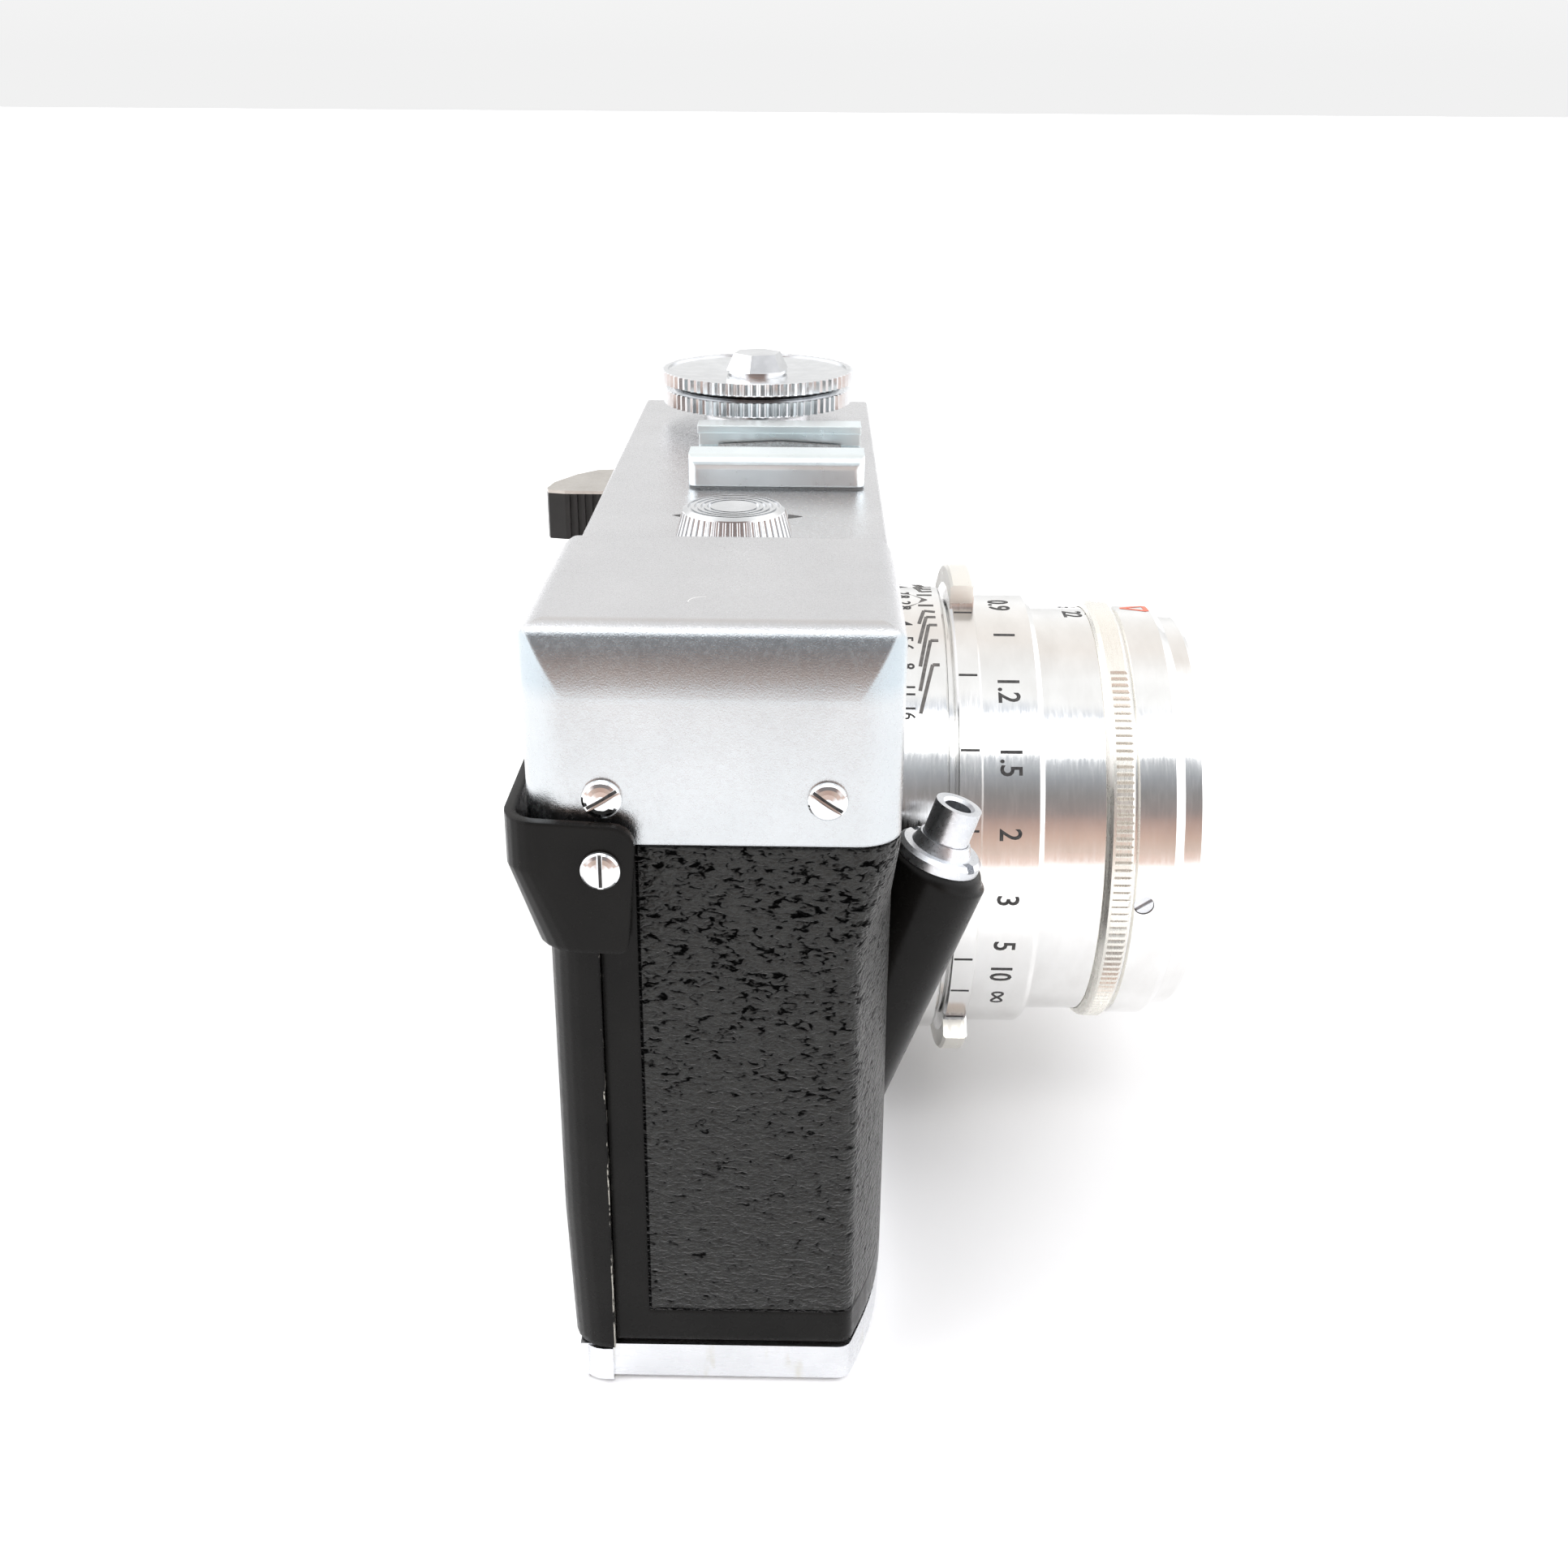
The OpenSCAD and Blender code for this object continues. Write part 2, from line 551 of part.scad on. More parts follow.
// Fluted disc on the wind shaft, with a smooth bevel to the height given on its inner side.
module dial(r, z0, z1, bevel) {
    translate([wind_x, -spool_y, 0]) difference() {
        union() {
            translate([0, 0, z0]) linear_extrude(z1 - z0) polygon(flutes(r, 0.5, 72));
            rotate_extrude($fn = 96) polygon([[0, (z0 + z1) / 2], [r - 0.55, (z0 + z1) / 2],
                [r - 0.55, bevel < z0 ? z0 : z1], [r - 1.5, bevel], [0, bevel]]);
        }
        translate([0, 0, 70]) cylinder(h = 20, r = 3.9 + fit, $fn = 48);
    }
}
module lower_dial() {
    color("#d8d9db") dial(dial_r - 0.4, 78.1, 80, 80.45);
}
module upper_dial() {
    color("#dcdcdc") difference() {
        dial(dial_r, 81, 82.6, 80.6);
        translate([wind_x, -spool_y, 0]) rotate_extrude($fn = 96)
            polygon([[0, 81.9], [4.6, 81.9], [dial_r - 1, 82.4], [dial_r - 1, 84], [0, 84]]);
    }
}
module dial_hub() {
    color("#e0e0e0") translate([wind_x, -spool_y, 78]) difference() {
        union() {
            cylinder(h = 4.1, r = 3.9, $fn = 48);
            translate([0, 0, 4.1]) cylinder(h = 0.4, r = 4.2, $fn = 48);
            translate([0, 0, 4.5]) rotate([0, 0, 48]) cylinder(h = 2.3, r1 = 4.5, r2 = 3.4, $fn = 6);
        }
        translate([0, 0, -1]) cylinder(h = 5.9, r = 2.4, $fn = 48);
    }
}
module take_up_spool() {
    color("#2a2a2a") translate([wind_x, -spool_y, 0]) difference() {
        union() {
            translate([0, 0, chamber_z + 0.4]) cylinder(h = 48.6, r = 6.5, $fn = 48);
            for (z = [lens_z - 19, lens_z + 18]) translate([0, 0, z])
                cylinder(h = 1, r = 9.8, $fn = 64);
            translate([0, 0, chamber_z + 40]) cylinder(h = 12, r = 2.5, $fn = 48);
        }
        box(-0.6, 0.6, -8, 0, lens_z - 15, lens_z + 15);
    }
}
module sprocket() {
    color("#8f9092") translate([sprocket_x, sprocket_y, 0]) {
        difference() {
            union() {
                translate([0, 0, chamber_z + 0.4]) cylinder(h = 48.6, r = 4.2, $fn = 48);
                for (z = [lens_z - 17.5, lens_z + 12]) translate([0, 0, z])
                    cylinder(h = 5.5, r = 5.2, $fn = 48);
                for (z = [lens_z - 15, lens_z + 13.6]) for (a = [0:45:315])
                    rotate([0, 0, a]) translate([0, -0.7, z]) cube([6.1, 1.4, 1.4]);
            }
            translate([0, 0, 0]) cylinder(h = 12, r = 1.5, $fn = 32);
        }
        translate([0, 0, chamber_z + 40]) cylinder(h = 12, r = 2, $fn = 48);
    }
}

// ---- Small knob and rewind ----

module knob() {
    color("#d8d8d8") translate([-knob_x, 0, plate_top + 0.2]) difference() {
        rotate_extrude($fn = 72) polygon([[0, 0], [knob_r + 1, 0], [knob_r + 1, 0.25],
            [knob_r + 0.2, 3], [knob_r - 0.2, 3.3], [0, 3.3]]);
        for (i = [0:47]) rotate([0, 0, 7.5 * i]) translate([knob_r + 1.12, 0, 0.1])
            rotate([0, -16.2, 0]) cylinder(h = 2.9, r = 0.29, $fn = 16);
        for (r = [2.5:0.7:4.6]) rotate_extrude($fn = 48)
            polygon([[r, 3.1], [r + 0.35, 3.1], [r + 0.35, 4], [r, 4]]);
        translate([0, 0, -1]) cylinder(h = 3, r = 2, $fn = 48);
    }
}
module knob_stem() {
    color("silver") translate([-knob_x, 0, deck_z + 0.4])
        cylinder(h = plate_top + 2.2 - deck_z - 0.4, r = 2, $fn = 48);
}
module rewind_fork() {
    color("silver") translate([-fork_x, 0, 0]) difference() {
        union() {
            translate([0, 0, 1.9]) cylinder(h = 11.4, r = 2, $fn = 48);
            translate([0, 0, chamber_z + 0.3]) cylinder(h = 1.2, r = 4, $fn = 48);
        }
        translate([-3, -0.5, 12.2]) cube([6, 1, 2]);
    }
}
module rewind_key() {
    color("#cfd0d1") translate([-fork_x, 0, 0.3]) difference() {
        cylinder(h = 1.6, r = 8, $fn = 64);
        difference() {
            translate([0, 0, -1]) cylinder(h = 1.9, r = 6.9, $fn = 64);
            translate([0, 0, -2]) cylinder(h = 3, r = 4.2, $fn = 64);
            box(-9, 9, -8, -2.9, -2, 3);
        }
    }
}
module rewind_bail() {
    color("silver") translate([-fork_x, 0, 0.35]) {
        difference() {
            cylinder(h = 0.7, r = 6.6, $fn = 64);
            translate([0, 0, -1]) cylinder(h = 3, r = 4.7, $fn = 64);
            box(-9, 9, -8, -2.2, -2, 3);
        }
        for (x = [-6.4, 4.3]) translate([x, -2.2, 0.35]) rotate([0, 90, 0])
            cylinder(h = 2.1, r = 0.35, $fn = 24);
    }
}

// ---- Release ----

module release_axis() {
    translate([-release_x, -21.3, 50.8]) rotate([release_lean, 0, 0]) children();
}
module housing_axis() {
    translate([-release_x, -21.7, 50.3]) rotate([housing_lean, 0, 0]) children();
}
module release_housing() {
    color("#161616") difference() {
        intersection() {
            housing_axis() translate([0, 0, -45]) cylinder(h = 50, r = 5.1, $fn = 64);
            release_axis() rotate_extrude($fn = 64) polygon([[0, -50], [12, -50], [12, -8.4],
                [5.2, -1.6], [4.75, -0.8], [4.2, -0.5], [0, -0.5]]);
            box(-release_x - 8, -release_x + 8, -40, -front_y + leather_t, 10, 70);
        }
        release_axis() translate([0, 0, -18]) cylinder(h = 20, r = 2.7, $fn = 48);
    }
}
module release_bush() {
    color("#d4d4d4") release_axis() difference() {
        rotate_extrude($fn = 64) polygon([[2.35 + fit, -4.4], [2.65, -4.4], [2.65, -0.5],
            [4.3, -0.5], [4.3, 0.4], [3.9, 0.8], [3.1, 0.8], [2.95, 1.1], [2.6, 1.9],
            [2.35 + fit, 1.9]]);
        for (a = [45, 225]) rotate([0, 0, a]) translate([3.3, -0.5, 0.2]) cube([2, 1, 1]);
    }
}
module release_button() {
    color("#cfcfcf") release_axis() difference() {
        union() {
            translate([0, 0, -8]) cylinder(h = 13.6, r = 2.35, $fn = 48);
            translate([0, 0, -12]) cylinder(h = 4.5, r = 1.2, $fn = 48);
        }
        cylinder(h = 7, r = 1.35, $fn = 48);
        translate([0, 0, 5.3]) cylinder(h = 0.4, r1 = 1.35, r2 = 1.75, $fn = 48);
    }
}
module release_spring() {
    color("silver") release_axis() translate([0, 0, -15]) difference() {
        cylinder(h = 4.3, r = 2.3, $fn = 48);
        translate([0, 0, -1]) cylinder(h = 7, r = 1.7, $fn = 48);
    }
}

// ---- Lens ----

module lens_flange() {
    color("#d0d0d0") difference() {
        ring(front_y - leather_t, 17.2, base_r + 0.3, neck_r + fit);
        flange_places() translate([0, 0, -3]) cylinder(h = 4, r = 0.65, $fn = 24);
    }
}
module flange_screws() {
    color("silver") flange_places() rotate([0, 0, 20])
        screw(r = 1, dome = 0.4, shank = 0.6, length = 2.4);
}
module lens_base() {
    color("#cacaca") turned([[24.2, 14.5], [neck_r, 14.5], [neck_r, 17.65], [27.4, 17.65],
        [base_r, 17.9], [base_r, 23.7], [27.4, 24], [26, 24], [26, 24.6],
        [barrel_r, 24.6], [barrel_r, 30.2], [24.2, 30.2]]);
}
module focus_ring() {
    bore = barrel_r + 0.08;
    color("#d2d2d2") translate([0, 0, lens_z]) rotate([90, 0, 0]) {
        rotate_extrude($fn = 96) polygon([[bore, 24.8], [27.4, 24.8], [base_r, 25.1],
            [base_r, 27.5], [scale_r, 27.8], [scale_r, 34.1], [scale_r - 0.4, 34.7],
            [bore, 34.7]]);
        for (a = [70, 250]) rotate([0, 0, a - 28]) rotate_extrude(angle = 56, $fn = 96)
            polygon([[base_r - 0.8, 24.8], [grip_r - 0.3, 24.8], [grip_r, 25.1],
                     [grip_r, 27.3], [grip_r - 0.3, 27.6], [base_r - 0.8, 27.6]]);
    }
}
module barrel() {
    color("#cfcfcf") turned([[22.2, 25], [24.12, 25], [24.12, 33.4], [barrel_r - 0.1, 33.8],
        [barrel_r, 34.2], [barrel_r, 42.2], [24.9, 42.4], [23.6, 42.4], [23.6, 45.1],
        [22.2, 45.1]]);
}
module aperture_ring() {
    bore = 23.6 + fit;
    color("#d6d6d0") difference() {
        turned([[bore, 42.5], [barrel_r + 0.06, 42.5], [barrel_r + 0.06, 41.75],
                [knurl_r - 0.4, 42], [knurl_r - 0.1, 42.4], [knurl_r, 42.8], [knurl_r, 44.5],
                [knurl_r - 0.3, 44.8], [knurl_r - 0.9, 44.8], [knurl_r - 0.9, 45.15],
                [bore, 45.15]]);
        for (s = [0, 180]) for (i = [0:2:120]) translate([0, 0, lens_z]) rotate([90, 0, 0])
            rotate([0, 0, s - 60 + i]) translate([knurl_r + 0.12, 0, 42.7]) rotate([0, 0, 45])
                translate([-0.27, -0.27, 0]) cube([0.54, 0.54, 4]);
    }
}
module front_ring() {
    color("#d4d4d4") difference() {
        turned([[22.2, 45.15], [25.3, 45.15], [25.6, 45.4], [25.6, 49.45], [24.6, 50.6],
            [24.4, 50.7], [24.3, lens_front - 0.5], [23.9, lens_front],
            [filter_r, lens_front], [filter_r, 51], [22.9, 51], [22.9, 49.6], [22.2, 49.6]]);
        grub_places() cylinder(h = 4, r = 1.15, $fn = 32);
    }
}
// Seats of the three grub screws in the front ring, with Z outwards.
module grub_places() {
    for (a = [181.7, 301.7, 61.7]) translate([0, -46.4, lens_z]) rotate([90, 0, 0])
        rotate([0, 0, a]) translate([24.2, 0, 0]) rotate([0, 90, 0]) children();
}
module lens_cell() {
    color("#141414") turned([[9.6, 27], [12.4, 27], [12.4, 45.3], [20.9, 48.8], [20.9, 45.3],
        [22.15, 45.3], [22.15, 49.65], [22.8, 49.65], [22.8, 50.4], [22.6, 50.7],
        [21.4, 50.7], [12.2, 46.9], [11.2, 46.9], [11.2, 45.3], [10.4, 45.3], [10.4, 31],
        [9.6, 31]]);
}
module shutter_case() {
    color("#202020") turned([[12.6, 30], [22.15, 30], [22.15, 45.1], [21, 45.1], [21, 31.2],
        [13.8, 31.2], [13.8, 44.6], [12.6, 44.6]]);
}
module front_element() {
    color("#a9bcd0", 0.4) turned(concat([[0, 43.9], [10.3, 43.9], [10.3, 45.4],
        [11.1, 45.4]], [for (i = [10:-1:0]) [1.1 * i, 45.7 + 2 * (1 - i * i / 101)]]));
}
module middle_element() {
    color("#a9bcd0", 0.4) turned(concat([for (i = [0:8]) [i, 39.6 - 1.4 * i * i / 64]],
        [[10.3, 38.2], [10.3, 41.4]], [for (i = [8:-1:0]) [i, 40.8 + 0.6 * i * i / 64]]));
}
module rear_element() {
    color("#a9bcd0", 0.4) turned(concat([for (i = [0:8]) [i * 1.1, 28 + 0.8 * i * i / 64]],
        [[9.5, 28.8], [9.5, 30.4]], [for (i = [8:-1:0]) [i * 1.1, 31 - 0.6 * i * i / 64]]));
}
module iris_blades() {
    color("#222222") for (i = [0:9]) translate([0, -36.2 - 0.12 * (i % 2), lens_z])
        rotate([90, 0, 0]) rotate([0, 0, 36 * i]) linear_extrude(0.1)
            polygon(concat(arc(0, 0, 9.8, -16, 16, 4), arc(0, 0, 2.2, 16, -16, 3)));
}
module shutter_blades() {
    color("#333436") for (i = [0:4]) translate([0, -34.6, lens_z])
        rotate([90, 0, 0]) rotate([0, 0, 72 * i]) linear_extrude(0.1)
            polygon(concat([[0.1, 0]], arc(0, 0, 9.8, -35.5, 35.5, 10)));
}
module grub_screws() {
    color("silver") grub_places() difference() {
        cylinder(h = 1.2, r = 1.1, $fn = 32);
        rotate([0, 0, 35]) translate([-2, -0.2, 0.8]) cube([4, 0.4, 1]);
    }
}

body_shell();
light_box();
leather_right();
leather_left();
bottom_plate();
bottom_screws();
tripod_bush();
top_cover();
cover_screws();
finder_window();
finder_tube();
eyepiece_frame();
eyepiece_lens();
accessory_shoe();
shoe_screws();
shoe_spring();
rear_door();
door_leather();
hinge_pin();
pressure_plate();
plate_spring();
latch_plate();
latch_screw();
wind_shaft();
wind_lever();
lever_tip();
lever_cap();
dial_boss();
lower_dial();
upper_dial();
dial_hub();
take_up_spool();
sprocket();
knob();
knob_stem();
rewind_fork();
rewind_key();
rewind_bail();
release_housing();
release_bush();
release_button();
release_spring();
lens_flange();
flange_screws();
lens_base();
focus_ring();
barrel();
aperture_ring();
front_ring();
lens_cell();
front_element();
middle_element();
rear_element();
iris_blades();
shutter_blades();
shutter_case();
grub_screws();
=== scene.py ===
from math import cos, degrees, hypot, pi, radians, sin

import bmesh
import bpy
from mathutils import Matrix, Vector


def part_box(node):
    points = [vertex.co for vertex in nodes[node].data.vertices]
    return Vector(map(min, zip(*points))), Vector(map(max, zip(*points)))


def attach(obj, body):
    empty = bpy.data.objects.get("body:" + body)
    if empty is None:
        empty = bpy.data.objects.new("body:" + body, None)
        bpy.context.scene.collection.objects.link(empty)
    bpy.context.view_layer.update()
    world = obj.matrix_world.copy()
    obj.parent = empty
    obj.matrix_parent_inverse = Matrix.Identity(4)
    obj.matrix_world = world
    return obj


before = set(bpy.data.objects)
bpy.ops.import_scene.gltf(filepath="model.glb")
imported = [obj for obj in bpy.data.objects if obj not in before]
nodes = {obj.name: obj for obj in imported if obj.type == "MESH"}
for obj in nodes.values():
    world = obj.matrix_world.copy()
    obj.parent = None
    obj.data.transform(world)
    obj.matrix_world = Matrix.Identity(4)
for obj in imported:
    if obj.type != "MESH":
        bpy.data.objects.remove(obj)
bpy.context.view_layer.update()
MM = 0.001

# The lens, in millimetres: its axis is LENS_Z up, and places along it are distances to the front.
LENS_Z = 36.0
GRIP_AT, GRIP_HALF = 26.0, 1.45      # middle and half width of the focusing ring's grips
KNURL_AT, KNURL_HALF = 43.35, 1.65   # the aperture ring's knurl
TAB_R = 28.0                         # the grips' tabs stand past this radius
FIGURE_R = 26.83                     # radii on which the marks lie
SLEEVE_R = 27.73
BARREL_R = 25.23
RING_R = 25.63


# ---- Node materials ----

def ramp_fill(node, stops):
    while len(node.color_ramp.elements) < len(stops):
        node.color_ramp.elements.new(0.5)
    for e, (at, color) in zip(node.color_ramp.elements, stops):
        e.position = at
        e.color = (*color, 1.0)


class Mat:
    """A procedural material under construction. Lengths in its methods are in millimetres."""

    def __init__(self, name, color=(0.8, 0.8, 0.8), metallic=0.0, roughness=0.5, **inputs):
        self.material = bpy.data.materials.new(name)
        self.material.use_nodes = True
        self.tree = self.material.node_tree
        self.shader = self.tree.nodes["Principled BSDF"]
        self.coord = self.tree.nodes.new("ShaderNodeTexCoord").outputs["Object"]
        self.set("Base Color", (*color, 1.0))
        self.set("Metallic", metallic)
        self.set("Roughness", roughness)
        for key, value in inputs.items():
            self.set(key.replace("_", " "), value)
        self.normal = None

    def set(self, socket, value):
        if isinstance(value, bpy.types.NodeSocket):
            self.tree.links.new(value, self.shader.inputs[socket])
        else:
            self.shader.inputs[socket].default_value = value

    def node(self, kind, **links):
        n = self.tree.nodes.new(kind)
        for key, value in links.items():
            socket = n.inputs[int(key[1:])] if key[0] == "i" and key[1:].isdigit() else n.inputs[key]
            if isinstance(value, bpy.types.NodeSocket):
                self.tree.links.new(value, socket)
            else:
                socket.default_value = value
        return n

    def scaled(self, sx=1.0, sy=1.0, sz=1.0):
        m = self.node("ShaderNodeMapping", Vector=self.coord)
        m.inputs["Scale"].default_value = (1000 * sx, 1000 * sy, 1000 * sz)
        return m.outputs[0]

    def noise(self, size, detail=3.0, stretch=(1, 1, 1), rough=0.55, distort=0.0):
        n = self.node("ShaderNodeTexNoise", Vector=self.scaled(*stretch), Scale=1.0 / size,
                      Detail=detail, Roughness=rough, Distortion=distort)
        return n.outputs["Fac"]

    def cells(self, size):
        n = self.tree.nodes.new("ShaderNodeTexVoronoi")
        self.tree.links.new(self.scaled(), n.inputs["Vector"])
        n.inputs["Scale"].default_value = 1.0 / size
        return n.outputs["Distance"]

    def math(self, op, a, b=0.0, c=0.0, clamp=False):
        n = self.node("ShaderNodeMath", i0=a, i1=b, i2=c)
        n.operation = op
        n.use_clamp = clamp
        return n.outputs[0]

    def axis(self, index):
        split = self.node("ShaderNodeSeparateXYZ", Vector=self.scaled())
        return split.outputs[index]

    def span(self, value, low, high, to_low=0.0, to_high=1.0):
        n = self.tree.nodes.new("ShaderNodeMapRange")
        self.tree.links.new(value, n.inputs["Value"])
        for key, number in (("From Min", low), ("From Max", high), ("To Min", to_low),
                            ("To Max", to_high)):
            n.inputs[key].default_value = number
        return n.outputs[0]

    def ramp(self, value, stops):
        n = self.node("ShaderNodeValToRGB", Fac=value)
        ramp_fill(n, stops)
        return n.outputs["Color"]

    def mix(self, fac, a, b):
        n = self.tree.nodes.new("ShaderNodeMix")
        n.data_type = "RGBA"
        for socket, value in ((n.inputs["Factor"], fac), (n.inputs[6], a), (n.inputs[7], b)):
            if isinstance(value, bpy.types.NodeSocket):
                self.tree.links.new(value, socket)
            else:
                socket.default_value = (*value, 1.0) if isinstance(value, tuple) else value
        return n.outputs[2]

    def round_edges(self, radius):
        """Edges and facets shaded as if rounded to a radius."""
        n = self.node("ShaderNodeBevel", Radius=radius * MM)
        n.samples = 4
        self.normal = n.outputs[0]
        self.set("Normal", self.normal)

    def bump(self, height, strength, depth):
        n = self.tree.nodes.new("ShaderNodeBump")
        n.inputs["Strength"].default_value = strength
        n.inputs["Distance"].default_value = depth * MM
        self.tree.links.new(height, n.inputs["Height"])
        if self.normal:
            self.tree.links.new(self.normal, n.inputs["Normal"])
        self.normal = n.outputs[0]
        self.set("Normal", self.normal)

    def band(self, value, centre, half, soft):
        """1 within half of centre, falling to 0 over soft."""
        d = self.math("ABSOLUTE", self.math("SUBTRACT", value, centre))
        return self.span(d, half, half + soft, 1.0, 0.0)

    def lacquer_tone(self):
        return self.ramp(self.noise(7, 5), [(0.3, (0.0045, 0.0043, 0.0040)), (0.7, (0.0080, 0.0076, 0.0070))])

    def dusty(self, base, spacing, sparse):
        """Base colour with pale specks of dust, fewer for a higher sparse."""
        speck = self.span(self.cells(spacing), 0.022, 0.040, 1.0, 0.0)
        keep = self.span(self.noise(5, 2), sparse, sparse + 0.03)
        return self.mix(self.math("MULTIPLY", speck, keep, clamp=True), base, (0.42, 0.40, 0.37))

    def scratch(self, centre, radius, width):
        """1 on a short bow-shaped scratch seen from above."""
        dx = self.math("SUBTRACT", self.axis(0), centre[0])
        dy = self.math("SUBTRACT", self.axis(1), centre[1])
        squares = self.math("ADD", self.math("MULTIPLY", dx, dx), self.math("MULTIPLY", dy, dy))
        reach = self.math("SQRT", squares)
        bow = self.band(reach, radius, width / 2, width / 3)
        return self.math("MULTIPLY", bow, self.span(self.math("ADD", dx, dy), 1.0, 1.15), clamp=True)


def satin_look():
    """Matt chrome of the shoe, smooth and bright."""
    m = Mat("satin_shoe", metallic=1.0)
    m.set("Base Color", m.ramp(m.noise(9, 4), [(0.35, (0.80, 0.87, 0.89)), (0.65, (0.86, 0.93, 0.95))]))
    m.set("Roughness", m.span(m.noise(0.9, 4), 0.3, 0.7, 0.27, 0.34))
    m.round_edges(0.3)
    m.bump(m.noise(0.2, 2), 0.05, 0.002)
    return m.material


def cover_look():
    """Sandblasted chrome: full grain above the end's flat, half of it below, and a scratch on top. The end
    face and the rounded bend above it are painted darker as painted shade; the bend is darker and bluer
    still, as a painted reflection.
    """
    m = Mat("satin_cover", metallic=1.0)
    cloud = m.ramp(m.noise(14, 4), [(0.35, (0.605, 0.607, 0.619)), (0.65, (0.655, 0.657, 0.669))])
    # Painted shade: the end face and its bend get darker copies of the top's colour, and the bend's copy is
    # bluer as a painted reflection.
    end = m.ramp(m.noise(14, 4), [(0.35, (0.525, 0.550, 0.565)), (0.65, (0.580, 0.606, 0.622))])
    bend_painted_shade = m.ramp(m.noise(14, 4), [(0.35, (0.450, 0.505, 0.540)), (0.65, (0.500, 0.560, 0.595))])
    tone = m.mix(m.span(m.axis(0), -59.0, -61.0), cloud,
                 m.mix(m.span(m.axis(2), 72.8, 74.6), end, m.mix(m.span(m.axis(2), 78.4, 79.2), bend_painted_shade, cloud)))
    m.set("Base Color", m.mix(m.scratch((-55.6, 1.0), 1.3, 0.09), tone, (0.95, 0.95, 0.95)))
    m.set("Roughness", m.span(m.noise(0.5, 4), 0.3, 0.7, 0.20, 0.30))
    m.round_edges(0.35)
    grain = m.span(m.axis(2), 72.8, 74.6, 0.5, 1.0)
    m.bump(m.math("MULTIPLY", m.noise(0.15, 2, rough=0.7), grain), 1.0, 0.028)
    m.bump(m.noise(0.35, 3, (1, 0.06, 1)), 0.20, 0.012)
    return m.material


def base_look():
    """Satin chrome with faint stains."""
    m = Mat("satin_base", metallic=1.0)
    stain = m.span(m.noise(4.5, 4, (1, 1, 0.35)), 0.60, 0.72)
    clean = m.ramp(m.noise(9, 4), [(0.35, (0.69, 0.70, 0.72)), (0.65, (0.77, 0.78, 0.80))])
    m.set("Base Color", m.mix(stain, clean, (0.62, 0.60, 0.53)))
    m.set("Roughness", m.span(m.noise(0.5, 4, (1, 0.1, 1)), 0.3, 0.7, 0.20, 0.34))
    m.bump(m.noise(0.16, 2), 0.4, 0.008)
    return m.material


def bright_look():
    """Bright chrome of the outer screws and the bail."""
    m = Mat("bright_chrome", metallic=1.0)
    m.set("Base Color", m.ramp(m.noise(2.5, 4), [(0.3, (0.68, 0.69, 0.70)), (0.7, (0.78, 0.79, 0.79))]))
    m.set("Roughness", m.span(m.noise(0.8, 5), 0.35, 0.7, 0.04, 0.14))
    m.bump(m.noise(1.6, 3), 0.10, 0.03)
    return m.material


def fluted_look():
    """The same chrome on fluted parts, dulled a little by handling."""
    m = Mat("fluted_chrome", metallic=1.0)
    m.set("Base Color", m.ramp(m.noise(2.5, 4), [(0.3, (0.60, 0.61, 0.62)), (0.7, (0.72, 0.73, 0.74))]))
    m.set("Roughness", m.span(m.noise(0.8, 5), 0.35, 0.7, 0.10, 0.20))
    m.bump(m.noise(1.6, 3), 0.08, 0.02)
    return m.material


def lens_look():
    """Turned aluminium, grooved round its axis; the knurl and the grips' tabs are duller and cream."""
    m = Mat("lens_silver", metallic=1.0)
    grip = m.band(m.axis(1), -GRIP_AT, GRIP_HALF, 0.05)
    knurl = m.band(m.axis(1), -KNURL_AT, KNURL_HALF, 0.05)
    across = m.math("MULTIPLY", m.axis(0), m.axis(0))
    up = m.math("SUBTRACT", m.axis(2), LENS_Z)
    reach = m.math("SQRT", m.math("ADD", across, m.math("MULTIPLY", up, up)))
    tabs = m.math("MULTIPLY", grip, m.span(reach, TAB_R, TAB_R + 0.2), clamp=True)
    matt = m.math("MAXIMUM", knurl, tabs)
    m.set("Roughness", m.math("ADD", m.span(m.noise(0.28, 3, (0.12, 1, 0.12)), 0.3, 0.7, 0.08, 0.20),
                              m.math("ADD", m.math("MULTIPLY", grip, 0.05), m.math("MULTIPLY", matt, 0.14))))
    m.set("Metallic", m.span(matt, 0.0, 1.0, 1.0, 0.80))
    silver = m.ramp(m.noise(7, 4, (1, 2, 1)), [(0.3, (0.84, 0.835, 0.82)), (0.7, (0.93, 0.93, 0.92))])
    m.set("Base Color", m.mix(matt, silver, (0.86, 0.84, 0.78)))
    m.bump(m.noise(0.16, 3, (0.02, 1, 0.02)), 0.22, 0.012)
    m.bump(m.noise(0.7, 4, (0.35, 1, 0.35)), 0.22, 0.016)
    return m.material


def steel_look():
    """Bare steel."""
    m = Mat("bare_steel", metallic=1.0)
    m.set("Base Color", m.ramp(m.noise(3, 3), [(0.3, (0.56, 0.56, 0.57)), (0.7, (0.68, 0.68, 0.68))]))
    m.set("Roughness", m.span(m.noise(0.4, 3), 0.3, 0.7, 0.18, 0.34))
    return m.material


def button_look():
    """Satin metal of the release and the grub screws."""
    m = Mat("satin_button", metallic=1.0)
    m.set("Base Color", m.ramp(m.noise(2, 4), [(0.3, (0.60, 0.62, 0.65)), (0.7, (0.74, 0.75, 0.77))]))
    m.set("Roughness", m.span(m.noise(0.35, 4), 0.3, 0.7, 0.24, 0.38))
    m.bump(m.noise(0.4, 3), 0.2, 0.02)
    return m.material


def lever_look():
    """Warm satin metal on the wind lever's tip."""
    m = Mat("lever_top", metallic=1.0)
    m.set("Base Color", m.ramp(m.noise(3, 3), [(0.3, (0.48, 0.455, 0.42)), (0.7, (0.56, 0.535, 0.50))]))
    m.set("Roughness", m.span(m.noise(0.4, 3), 0.3, 0.7, 0.30, 0.42))
    return m.material


